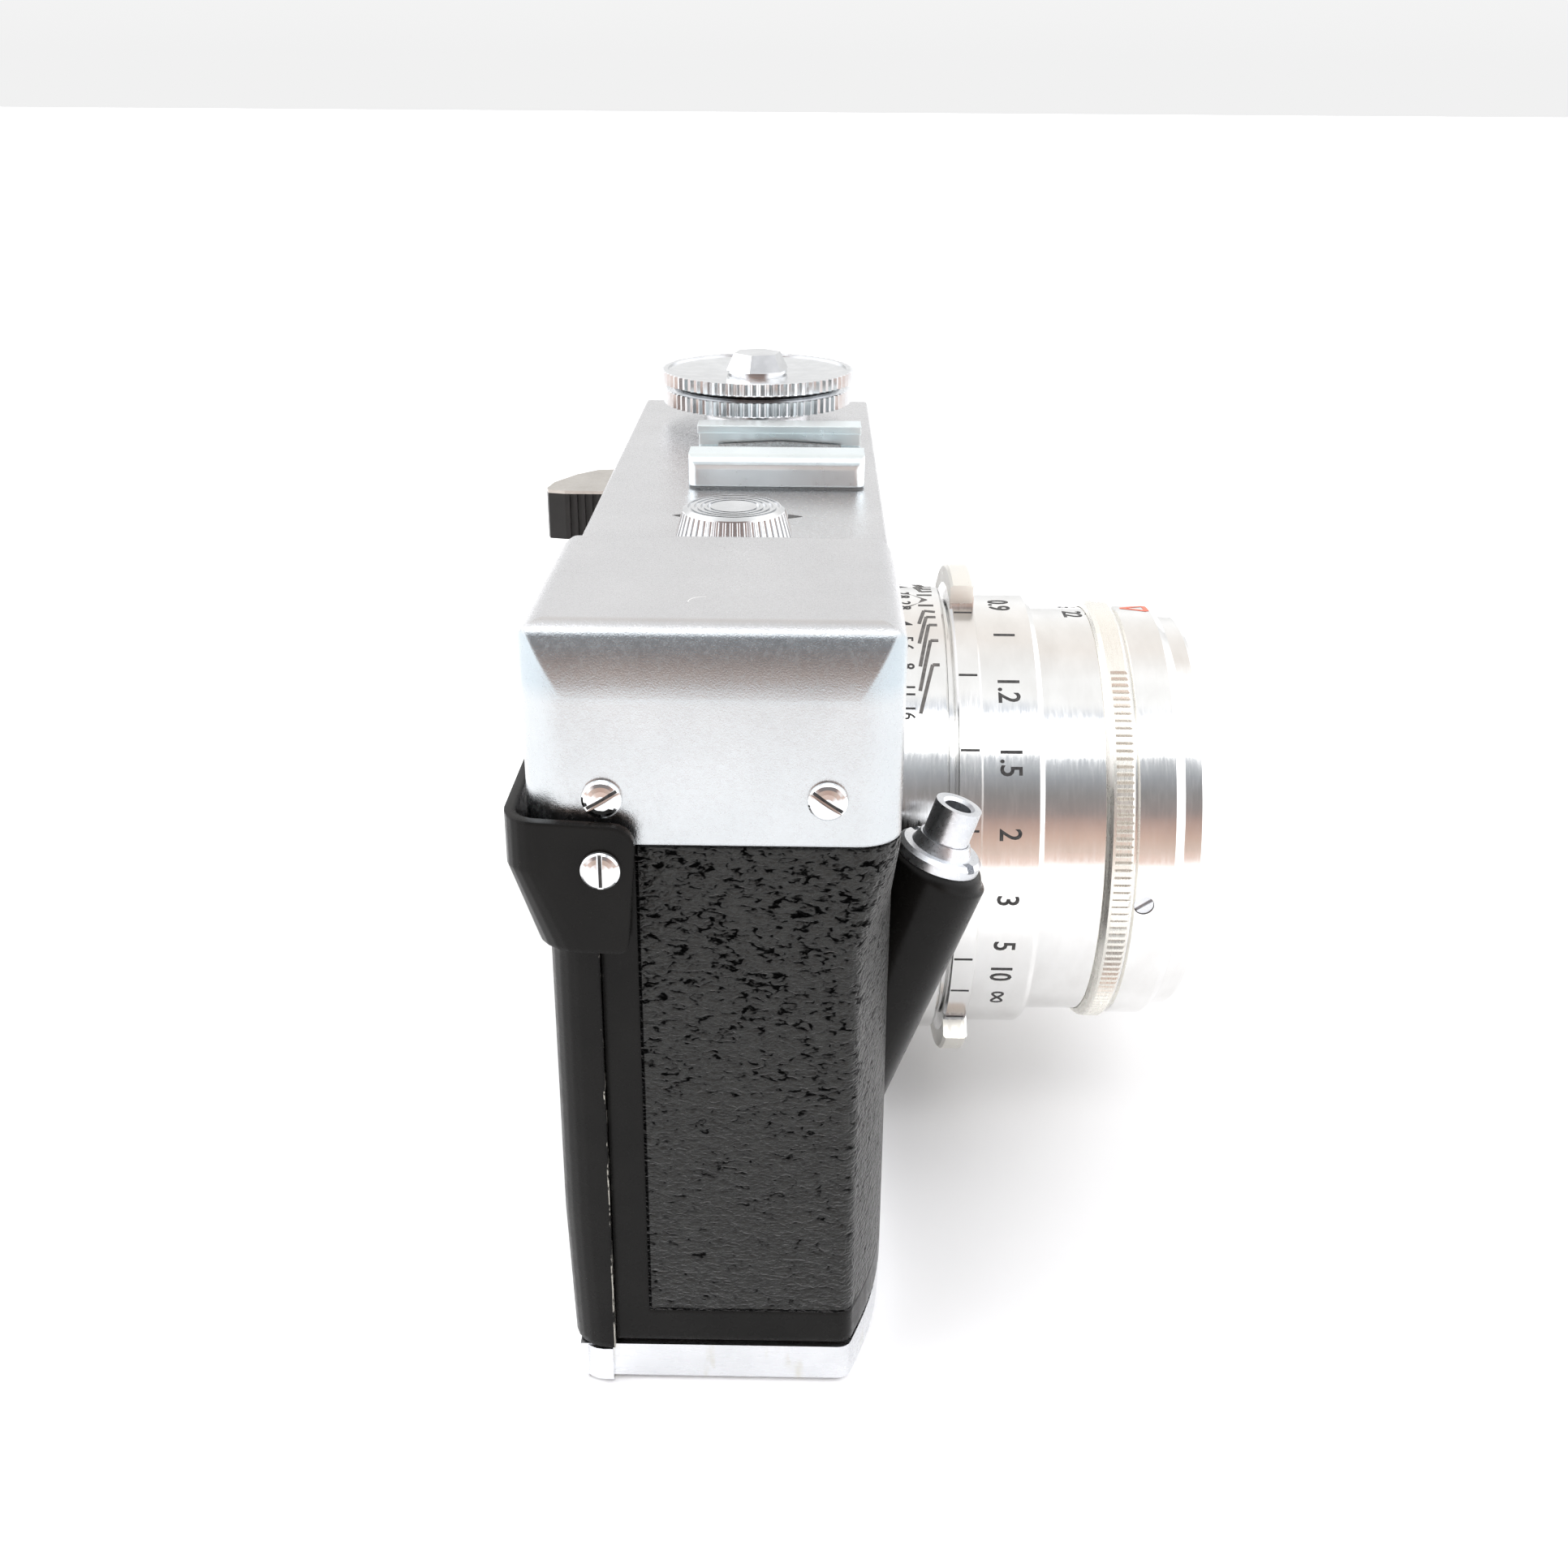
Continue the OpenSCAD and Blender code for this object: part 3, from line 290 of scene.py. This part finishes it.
def blade_look():
    """Dark steel of the blades."""
    m = Mat("dark_steel", metallic=0.8)
    m.set("Base Color", m.ramp(m.noise(3, 3), [(0.3, (0.05, 0.05, 0.052)), (0.7, (0.10, 0.10, 0.10))]))
    m.set("Roughness", m.span(m.noise(0.4, 3), 0.3, 0.7, 0.4, 0.55))
    return m.material


def lacquer_look():
    """Black lacquer: warm brown-black, a soft sheen, and specks of dust."""
    m = Mat("black_lacquer", Specular_IOR_Level=0.13)
    m.set("Base Color", m.dusty(m.lacquer_tone(), 1.5, 0.62))
    m.set("Roughness", m.span(m.noise(1.3, 5), 0.3, 0.7, 0.20, 0.30))
    m.round_edges(0.5)
    m.bump(m.noise(0.45, 4), 0.12, 0.02)
    return m.material


def body_look():
    """The same lacquer on the body and the back, worn to bare metal along their seam."""
    m = Mat("worn_lacquer", Specular_IOR_Level=0.13)
    x, y, z = m.axis(0), m.axis(1), m.axis(2)
    edge = m.band(m.math("ADD", y, m.span(m.noise(5, 3), 0.3, 0.7, -0.05, 0.05)), 10.25, 0.03, 0.06)
    chips = m.span(m.math("ADD", m.noise(0.9, 5, (1, 1, 0.45)), m.span(z, 8, 50, 0.05, -0.12)), 0.50, 0.54)
    near = m.span(x, -62.6, -62.9)
    worn = m.math("MULTIPLY", m.math("MULTIPLY", edge, chips), near, clamp=True)
    m.set("Base Color", m.mix(worn, m.dusty(m.lacquer_tone(), 1.9, 0.60), (0.50, 0.48, 0.43)))
    m.set("Metallic", worn)
    m.set("Roughness", m.span(m.noise(1.3, 5), 0.3, 0.7, 0.22, 0.34))
    m.round_edges(0.7)
    m.bump(m.noise(0.45, 4), 0.15, 0.02)
    return m.material


def leather_look():
    """Grained covering: low pebbles parted by short creases, fewer towards the base. The creases are painted
    black and the hollows darker as painted shade, and the painted crease shade thins towards the base.
    """
    m = Mat("leatherette", Specular_IOR_Level=0.36, Sheen_Weight=0.20, Sheen_Roughness=0.25)
    coarse = m.noise(0.66, 1.5, (0.58, 0.58, 1.20), rough=0.45, distort=0.9)
    fine = m.noise(0.30, 2, (0.62, 0.62, 1.1), rough=0.5, distort=0.4)
    wide = m.noise(3.2, 1.5)
    relief = m.math("ADD", m.math("MULTIPLY", coarse, 0.72), m.math("MULTIPLY", fine, 0.28))
    # Painted shade: the threshold below which the grain is painted black rises towards the top, so the
    # painted crease shade is denser higher up.
    depth = m.math("ADD", m.span(m.axis(2), 8, 54, 0.320, 0.425), m.math("MULTIPLY", wide, 0.09))
    # Painted shade: the creases, where the relief falls below that threshold, are painted black (black base
    # colour, fully metallic) in place of their shade.
    dark = m.math("MULTIPLY", m.math("SUBTRACT", depth, relief), 15, clamp=True)
    border = m.math("ADD", m.band(m.axis(1), 6.72, 0.16, 0.08), m.band(m.axis(2), 9.12, 0.16, 0.08))
    line = m.math("MULTIPLY", border, m.span(m.axis(0), -60.5, -61.5), clamp=True)
    # Painted shade: the grain's tone is darker in the low relief and lighter on the tops of the pebbles.
    tone = m.ramp(relief, [(0.40, (0.004, 0.0043, 0.0038)), (0.50, (0.008, 0.0085, 0.0077)),
                           (0.62, (0.015, 0.0158, 0.0143))])
    black = m.math("MAXIMUM", dark, line)
    m.set("Base Color", m.dusty(m.mix(black, tone, (0.0008, 0.0008, 0.0008)), 2.6, 0.64))
    m.set("Metallic", black)
    m.set("Roughness", m.span(black, 0.0, 1.0, 0.36, 0.70))
    m.round_edges(0.6)
    m.bump(relief, 1.0, 0.85)
    m.bump(m.noise(1.5, 2), 0.5, 0.25)
    m.bump(m.noise(0.10, 3), 0.12, 0.015)
    return m.material


def plastic_look():
    """Black plastic."""
    m = Mat("black_plastic", Specular_IOR_Level=0.35)
    m.set("Base Color", m.ramp(m.noise(5, 4), [(0.3, (0.010, 0.010, 0.010)), (0.7, (0.018, 0.017, 0.016))]))
    m.set("Roughness", m.span(m.noise(0.9, 4), 0.3, 0.7, 0.28, 0.42))
    m.bump(m.noise(0.25, 3), 0.15, 0.01)
    return m.material


def flock_look():
    """Matt black of the inner surfaces."""
    m = Mat("matt_black", roughness=0.85)
    m.set("Base Color", m.ramp(m.noise(2, 4), [(0.3, (0.006, 0.006, 0.006)), (0.7, (0.012, 0.012, 0.012))]))
    m.bump(m.noise(0.2, 3), 0.4, 0.03)
    return m.material


def glass_look():
    """Coated glass."""
    m = Mat("coated_glass", roughness=0.02, Coat_Weight=1.0, Coat_Roughness=0.02)
    m.set("Base Color", m.ramp(m.noise(12, 2), [(0.3, (0.020, 0.020, 0.045)), (0.7, (0.050, 0.028, 0.060))]))
    m.set("Roughness", m.span(m.noise(4, 3), 0.3, 0.7, 0.02, 0.05))
    return m.material


def ink_and_slot_shade_look():
    """Black of engraved figures, and of the painted shade in the screw slots."""
    m = Mat("engraved_black_and_slot_shade", roughness=0.55, Specular_IOR_Level=0.3)
    m.set("Base Color", m.ramp(m.noise(0.5, 3), [(0.3, (0.030, 0.030, 0.032)), (0.7, (0.085, 0.083, 0.08))]))
    return m.material


def grey_ink_look():
    """Grey of the depth scale's lines."""
    m = Mat("engraved_grey", roughness=0.55, Specular_IOR_Level=0.3)
    m.set("Base Color", m.ramp(m.noise(0.5, 3), [(0.3, (0.11, 0.105, 0.10)), (0.7, (0.20, 0.19, 0.18))]))
    return m.material


def red_look():
    """Red of the index."""
    m = Mat("index_red", roughness=0.5, Specular_IOR_Level=0.3)
    m.set("Base Color", m.ramp(m.noise(0.5, 3), [(0.3, (0.72, 0.12, 0.07)), (0.7, (0.84, 0.24, 0.16))]))
    return m.material


MATS = {
    "satin": satin_look(),
    "cover": cover_look(),
    "base": base_look(),
    "bright": bright_look(),
    "fluted": fluted_look(),
    "lens": lens_look(),
    "steel": steel_look(),
    "button": button_look(),
    "lever": lever_look(),
    "blade": blade_look(),
    "lacquer": lacquer_look(),
    "body": body_look(),
    "leather": leather_look(),
    "plastic": plastic_look(),
    "flock": flock_look(),
    "glass": glass_look(),
    "ink": ink_and_slot_shade_look(),
    "grey_ink": grey_ink_look(),
    "red": red_look(),
}
LOOKS = {
    "cover": ["top_cover"],
    "satin": ["accessory_shoe"],
    "base": ["bottom_plate"],
    "bright": ["cover_screws", "bottom_screws", "latch_screw", "rewind_bail", "shoe_screws"],
    "fluted": ["lower_dial", "upper_dial", "dial_hub", "knob"],
    "lens": ["lens_flange", "lens_base", "focus_ring", "barrel", "aperture_ring", "front_ring",
             "rewind_key"],
    "steel": ["tripod_bush", "shoe_spring", "hinge_pin", "plate_spring", "wind_shaft", "wind_lever",
              "dial_boss", "sprocket", "knob_stem", "rewind_fork", "release_spring", "flange_screws"],
    "lever": ["lever_cap"],
    "button": ["release_bush", "release_button", "grub_screws"],
    "body": ["body_shell", "rear_door"],
    "lacquer": ["latch_plate", "release_housing"],
    "leather": ["leather_right", "leather_left", "door_leather"],
    "plastic": ["eyepiece_frame", "lever_tip", "take_up_spool"],
    "flock": ["light_box", "finder_tube", "lens_cell", "pressure_plate", "shutter_case"],
    "glass": ["finder_window", "eyepiece_lens", "front_element", "middle_element", "rear_element"],
    "blade": ["iris_blades", "shutter_blades"],
}
for look, names in LOOKS.items():
    for name in names:
        o = nodes[name]
        o.data.materials.clear()
        o.data.materials.append(MATS[look])


# ---- Marks on the lens ----

def wrap(points, radius, phi0, w0):
    """Flat millimetre points (along, up) laid on the lens: along runs down the near side, up to the front."""
    out = []
    for along, up in points:
        phi = phi0 - along / radius
        out.append(Vector((-radius * cos(phi), -(w0 + up), LENS_Z + radius * sin(phi))) * MM)
    return out


def mesh_piece(name, verts, faces, material, body, smooth=False):
    mesh = bpy.data.meshes.new(name)
    mesh.from_pydata([tuple(v) for v in verts], [], faces)
    mesh.update()
    o = bpy.data.objects.new(name, mesh)
    bpy.context.collection.objects.link(o)
    o.data.materials.append(MATS[material])
    for p in mesh.polygons:
        p.use_smooth = smooth
    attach(o, body)
    return o


def text_triangles(text, size, squeeze=1.0):
    """Triangles of a word in millimetres, centred on its width and height."""
    curve = bpy.data.curves.new("word", "FONT")
    curve.body = text
    curve.size = size
    curve.resolution_u = 3
    curve.offset = 0.012 * size
    o = bpy.data.objects.new("word", curve)
    bpy.context.collection.objects.link(o)
    bpy.context.view_layer.update()
    mesh = o.evaluated_get(bpy.context.evaluated_depsgraph_get()).to_mesh()
    bm = bmesh.new()
    bm.from_mesh(mesh)
    bmesh.ops.triangulate(bm, faces=bm.faces)
    verts = [(v.co.x * squeeze, v.co.y) for v in bm.verts]
    faces = [[v.index for v in f.verts] for f in bm.faces]
    bm.free()
    bpy.data.objects.remove(o)
    bpy.data.curves.remove(curve)
    cx = (min(v[0] for v in verts) + max(v[0] for v in verts)) / 2
    cy = (min(v[1] for v in verts) + max(v[1] for v in verts)) / 2
    return [(x - cx, y - cy) for x, y in verts], faces


class Marks:
    """Engraved marks gathered into one mesh."""

    def __init__(self, name, radius, body, material):
        self.name, self.radius, self.body, self.material = name, radius, body, material
        self.verts, self.faces = [], []

    def add(self, points, faces, phi, w):
        start = len(self.verts)
        self.verts += wrap(points, self.radius, radians(phi), w)
        self.faces += [[start + i for i in f] for f in faces]

    def word(self, text, size, phi, w, squeeze=1.0):
        points, faces = text_triangles(text, size, squeeze)
        self.add(points, faces, phi, w)

    def line(self, phi0, w0, phi1, w1, width):
        """A line from one place to another, in short steps so that it follows the curve."""
        r = self.radius
        a = (-radians(phi0) * r, w0)
        b = (-radians(phi1) * r, w1)
        length = hypot(b[0] - a[0], b[1] - a[1])
        nx, ny = -(b[1] - a[1]) / length * width / 2, (b[0] - a[0]) / length * width / 2
        steps = max(1, int(abs(b[0] - a[0]) / 0.6))
        points, faces = [], []
        for i in range(steps + 1):
            t = i / steps
            x, y = a[0] + (b[0] - a[0]) * t, a[1] + (b[1] - a[1]) * t
            points += [(x + nx, y + ny), (x - nx, y - ny)]
            if i:
                k = 2 * i
                faces.append([k - 2, k - 1, k + 1, k])
        self.add(points, faces, 0, 0)

    def done(self):
        return mesh_piece(self.name, self.verts, self.faces, self.material, self.body)


# Angles round the lens, in degrees up from the near side: figure, then tick.
DISTANCES = (("0.9", 88.1, 99.9), ("1", 71.8, 78.9), ("1.2", 52.8, 56.1), ("1.5", 34.1, 36.7),
             ("2", 17.0, 18.0), ("3", 0.5, 1.0), ("5", -12.7, -15.4), ("10", -22.8, -27.1),
             ("∞", -33.5, -41.8))
# Depth-of-field lines: the stop, then angle and distance forward of end, elbow and foot.
DEPTHS = (("2.8", (82.5, 22.9), (82.5, 21.2), (82.5, 21.1)), ("4", (79, 23.0), (79.5, 21.7), (73.5, 21.0)),
          ("5.6", (76.5, 23.0), (76.5, 21.9), (66, 20.9)), ("8", (73, 23.1), (73, 22.1), (58.5, 20.9)),
          ("11", (67, 23.1), (67, 22.2), (51.5, 20.8)), ("16", (59, 23.1), (59, 22.3), (45.5, 20.8)))
INDEX = 86.0


def endless(marks, phi, w, width):
    """The sign for infinity, drawn as a closed loop of short lines."""
    steps = 24
    loop = [(1.25 * sin(t * pi / 12), 0.62 * sin(t * pi / 6)) for t in range(steps)]
    for (x0, y0), (x1, y1) in zip(loop, loop[1:] + loop[:1]):
        marks.line(phi - degrees(x0 / marks.radius), w + y0, phi - degrees(x1 / marks.radius), w + y1, width)


def distance_marks():
    figure_w = 30.9
    scale = Marks("focus_scale", FIGURE_R, "focus", "ink")
    ticks = Marks("focus_ticks", SLEEVE_R, "focus", "ink")
    for text, phi, tick in DISTANCES:
        if text == "∞":
            endless(scale, phi, figure_w, 0.3)
        else:
            scale.word(text, 3.5, phi, figure_w, 0.86)
        ticks.line(tick, 25.2, tick, 27.3, 0.26)
    scale.done()
    ticks.done()


def depth_marks():
    depth = Marks("depth_numbers", SLEEVE_R, "body", "ink")
    zigzag = Marks("depth_lines", SLEEVE_R, "body", "grey_ink")
    for text, end, elbow, foot in DEPTHS:
        for side in (1, -1):
            spots = [(INDEX + (phi - INDEX) * side, w) for phi, w in (end, elbow, foot)]
            for (a, b), (c, d) in zip(spots, spots[1:]):
                zigzag.line(a, b, c, d, 0.42)
            depth.word(text, 2.1, spots[2][0], 19.5, 0.9)
    zigzag.add([(-2.5, 19.7), (2.5, 19.7), (0, 22.3)], [(0, 1, 2)], INDEX, 0)
    depth.done()
    zigzag.done()


def stop_marks():
    first, step = 92.0, 11.8
    stop = Marks("stop_numbers", BARREL_R, "head", "ink")
    for i, text in enumerate(("22", "16", "11", "8", "5.6", "4", "2.8")):
        phi = first + step * i
        stop.word(text, 3.2, phi, 40.1, 0.85)
        stop.line(phi, 41.6, phi, 42.1, 0.26)
    stop.done()


def index_mark():
    middle = 95.5
    index = Marks("stop_index", RING_R, "aperture", "red")
    corners = ((-1.4, 49.1), (1.4, 49.1), (0, 46.1), (-1.4, 49.1))
    for (a, b), (c, d) in zip(corners, corners[1:]):
        index.line(middle - degrees(a / RING_R), b, middle - degrees(c / RING_R), d, 0.55)
    index.done()


distance_marks()
depth_marks()
stop_marks()
index_mark()


# ---- Painted shade in the slots of the near screws ----

def slot_shade_strip(name, screw, side, turn, body):
    """A dark strip of painted shade on the floor of a screw's slot, turned in degrees from upright."""
    half_length, half_width, floor_in = 1.55, 0.15, 0.42
    low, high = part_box(screw)
    r = (high[2] - low[2]) / 2
    y = {"rear": high[1] - r, "front": low[1] + r}[side]
    z = (low[2] + high[2]) / 2
    along = (sin(radians(turn)), cos(radians(turn)))
    verts = []
    for across, up in ((-1, -1), (1, -1), (1, 1), (-1, 1)):
        a, b = across * half_length, up * half_width
        verts.append(Vector((low[0] + floor_in * MM, y + (a * along[0] + b * along[1]) * MM,
                             z + (a * along[1] - b * along[0]) * MM)))
    mesh_piece(name, verts, [(0, 1, 2, 3)], "ink", body)


# Painted shade: dark strips lie on the slot floors, where the real slots are only shaded.
slot_shade_strip("slot_rear", "cover_screws", "rear", -58, "body")
slot_shade_strip("slot_front", "cover_screws", "front", 55, "body")
slot_shade_strip("slot_latch", "latch_screw", "rear", 0, "latch")


# ---- Arrowheads by the small knob ----

def arrowheads():
    """Two black arrowheads on the deck, past the knob on either side."""
    past, half_base, base_out, tip_out = 3.2, 0.95, 5.7, 7.4
    low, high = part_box("knob")
    x = high[0] + past * MM
    y = (low[1] + high[1]) / 2
    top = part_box("accessory_shoe")[0][2] + 0.02 * MM
    verts = []
    for side in (1, -1):
        for along, out in ((-half_base, base_out), (half_base, base_out), (0.0, tip_out)):
            verts.append(Vector((x + along * MM, y + out * side * MM, top)))
    mesh_piece("knob_arrows", verts, [(0, 1, 2), (3, 5, 4)], "ink", "body")


arrowheads()


# ---- Stage, light and camera ----

def stage_material():
    """Pale table top, turning warmer past its near edge."""
    m = Mat("pale_table", roughness=0.7, Specular_IOR_Level=0.2)
    pale = m.ramp(m.noise(60, 5), [(0.35, (0.93, 0.93, 0.93)), (0.65, (0.95, 0.95, 0.95))])
    m.set("Base Color", m.mix(m.span(m.axis(0), -270, -400), pale, (0.56, 0.42, 0.36)))
    return m.material


def build_stage():
    mesh = bpy.data.meshes.new("table")
    mesh.from_pydata([(-1.5, -3, 0), (4, -3, 0), (4, 3, 0), (-1.5, 3, 0)], [], [(0, 1, 2, 3)])
    o = bpy.data.objects.new("table", mesh)
    bpy.context.collection.objects.link(o)
    o.data.materials.append(stage_material())


# What a bright metal face sees, by the sine of the height above the horizon: a warm wall with a
# bright ceiling towards the near side, white at the far side, and large windows front and back.
NEAR_SIDE = [(0.0, (0.78, 0.62, 0.54)), (0.12, (0.70, 0.50, 0.42)), (0.27, (0.50, 0.36, 0.32)),
             (0.34, (0.33, 0.28, 0.27)), (0.50, (0.29, 0.28, 0.28)), (0.62, (0.36, 0.375, 0.40)),
             (0.76, (0.62, 0.65, 0.69)), (0.80, (3.2, 3.2, 3.2)), (0.925, (3.2, 3.2, 3.2)),
             (0.947, (0.72, 0.76, 0.84)), (0.968, (0.76, 0.79, 0.84)), (0.985, (1.1, 1.1, 1.1))]
FAR_SIDE = [(0.0, (0.88, 0.88, 0.88)), (0.15, (1.0, 1.0, 1.0)), (0.30, (1.10, 1.10, 1.10)),
            (0.60, (1.03, 1.0, 0.97)), (0.85, (0.96, 0.91, 0.87)), (1.0, (1.0, 1.0, 1.0))]
WINDOWS = [(0.0, (1.2, 1.2, 1.2)), (0.15, (2.3, 2.3, 2.35)), (0.75, (2.3, 2.3, 2.35)),
           (0.95, (1.2, 1.2, 1.2)), (1.0, (1.0, 1.0, 1.0))]


def build_world():
    world = bpy.data.worlds.new("studio")
    bpy.context.scene.world = world
    world.use_nodes = True
    t = world.node_tree
    t.nodes.clear()
    out = t.nodes.new("ShaderNodeOutputWorld")
    back = t.nodes.new("ShaderNodeBackground")
    t.links.new(back.outputs[0], out.inputs[0])
    coord = t.nodes.new("ShaderNodeTexCoord")
    split = t.nodes.new("ShaderNodeSeparateXYZ")
    t.links.new(coord.outputs["Generated"], split.inputs[0])
    ramps = []
    for stops in (NEAR_SIDE, FAR_SIDE, WINDOWS):
        ramp = t.nodes.new("ShaderNodeValToRGB")
        t.links.new(split.outputs["Z"], ramp.inputs["Fac"])
        ramp_fill(ramp, stops)
        ramps.append(ramp.outputs["Color"])
    flat = t.nodes.new("ShaderNodeVectorMath")
    flat.operation = "MULTIPLY"
    flat.inputs[1].default_value = (1, 1, 0)
    t.links.new(coord.outputs["Generated"], flat.inputs[0])
    heading = t.nodes.new("ShaderNodeVectorMath")
    heading.operation = "NORMALIZE"
    t.links.new(flat.outputs[0], heading.inputs[0])
    along = t.nodes.new("ShaderNodeSeparateXYZ")
    t.links.new(heading.outputs[0], along.inputs[0])

    def blend(low, high, a, b):
        fac = t.nodes.new("ShaderNodeMapRange")
        fac.inputs["From Min"].default_value = low
        fac.inputs["From Max"].default_value = high
        t.links.new(along.outputs["X"], fac.inputs["Value"])
        mix = t.nodes.new("ShaderNodeMix")
        mix.data_type = "RGBA"
        t.links.new(fac.outputs[0], mix.inputs["Factor"])
        t.links.new(a, mix.inputs[6])
        t.links.new(b, mix.inputs[7])
        return mix.outputs[2]

    t.links.new(blend(0.60, 0.85, blend(-0.88, -0.62, ramps[0], ramps[2]), ramps[1]), back.inputs["Color"])
    back.inputs["Strength"].default_value = 1.0


def area(name, at, target, size, power):
    light = bpy.data.lights.new(name, "AREA")
    light.shape = "RECTANGLE"
    light.size, light.size_y = size
    light.energy = power
    o = bpy.data.objects.new(name, light)
    bpy.context.collection.objects.link(o)
    o.location = at
    o.rotation_euler = (Vector(target) - Vector(at)).to_track_quat("-Z", "Y").to_euler()
    return o


def build_camera():
    """The camera at the photograph's place: pitch, yaw and roll in degrees."""
    pitch, yaw, roll = radians(23.22), radians(0.82), radians(0.36)
    base = Matrix(((0, 1, 0), (0, 0, -1), (1, 0, 0)))
    rx = Matrix(((1, 0, 0), (0, cos(pitch), -sin(pitch)), (0, sin(pitch), cos(pitch))))
    ry = Matrix(((cos(yaw), 0, sin(yaw)), (0, 1, 0), (-sin(yaw), 0, cos(yaw))))
    rz = Matrix(((cos(roll), -sin(roll), 0), (sin(roll), cos(roll), 0), (0, 0, 1)))
    r = rz @ rx @ ry @ base
    right = Vector((r[0][0], -r[0][1], r[0][2]))
    up = -Vector((r[1][0], -r[1][1], r[1][2]))
    back = -Vector((r[2][0], -r[2][1], r[2][2]))
    data = bpy.data.cameras.new("photo_camera")
    data.sensor_width = 36.0
    data.lens = 39.07
    data.clip_start = 0.005
    o = bpy.data.objects.new("photo_camera", data)
    bpy.context.collection.objects.link(o)
    m = Matrix((right, up, back)).transposed().to_4x4()
    m.translation = Vector((-197.36, -8.13, 123.36)) * MM
    o.matrix_world = m
    bpy.context.scene.camera = o


build_stage()
build_world()
area("key", (-0.1, 1.0, 1.0), (0, 0, 0.04), (0.8, 0.8), 5)
build_camera()
bpy.context.scene.view_settings.view_transform = "Standard"
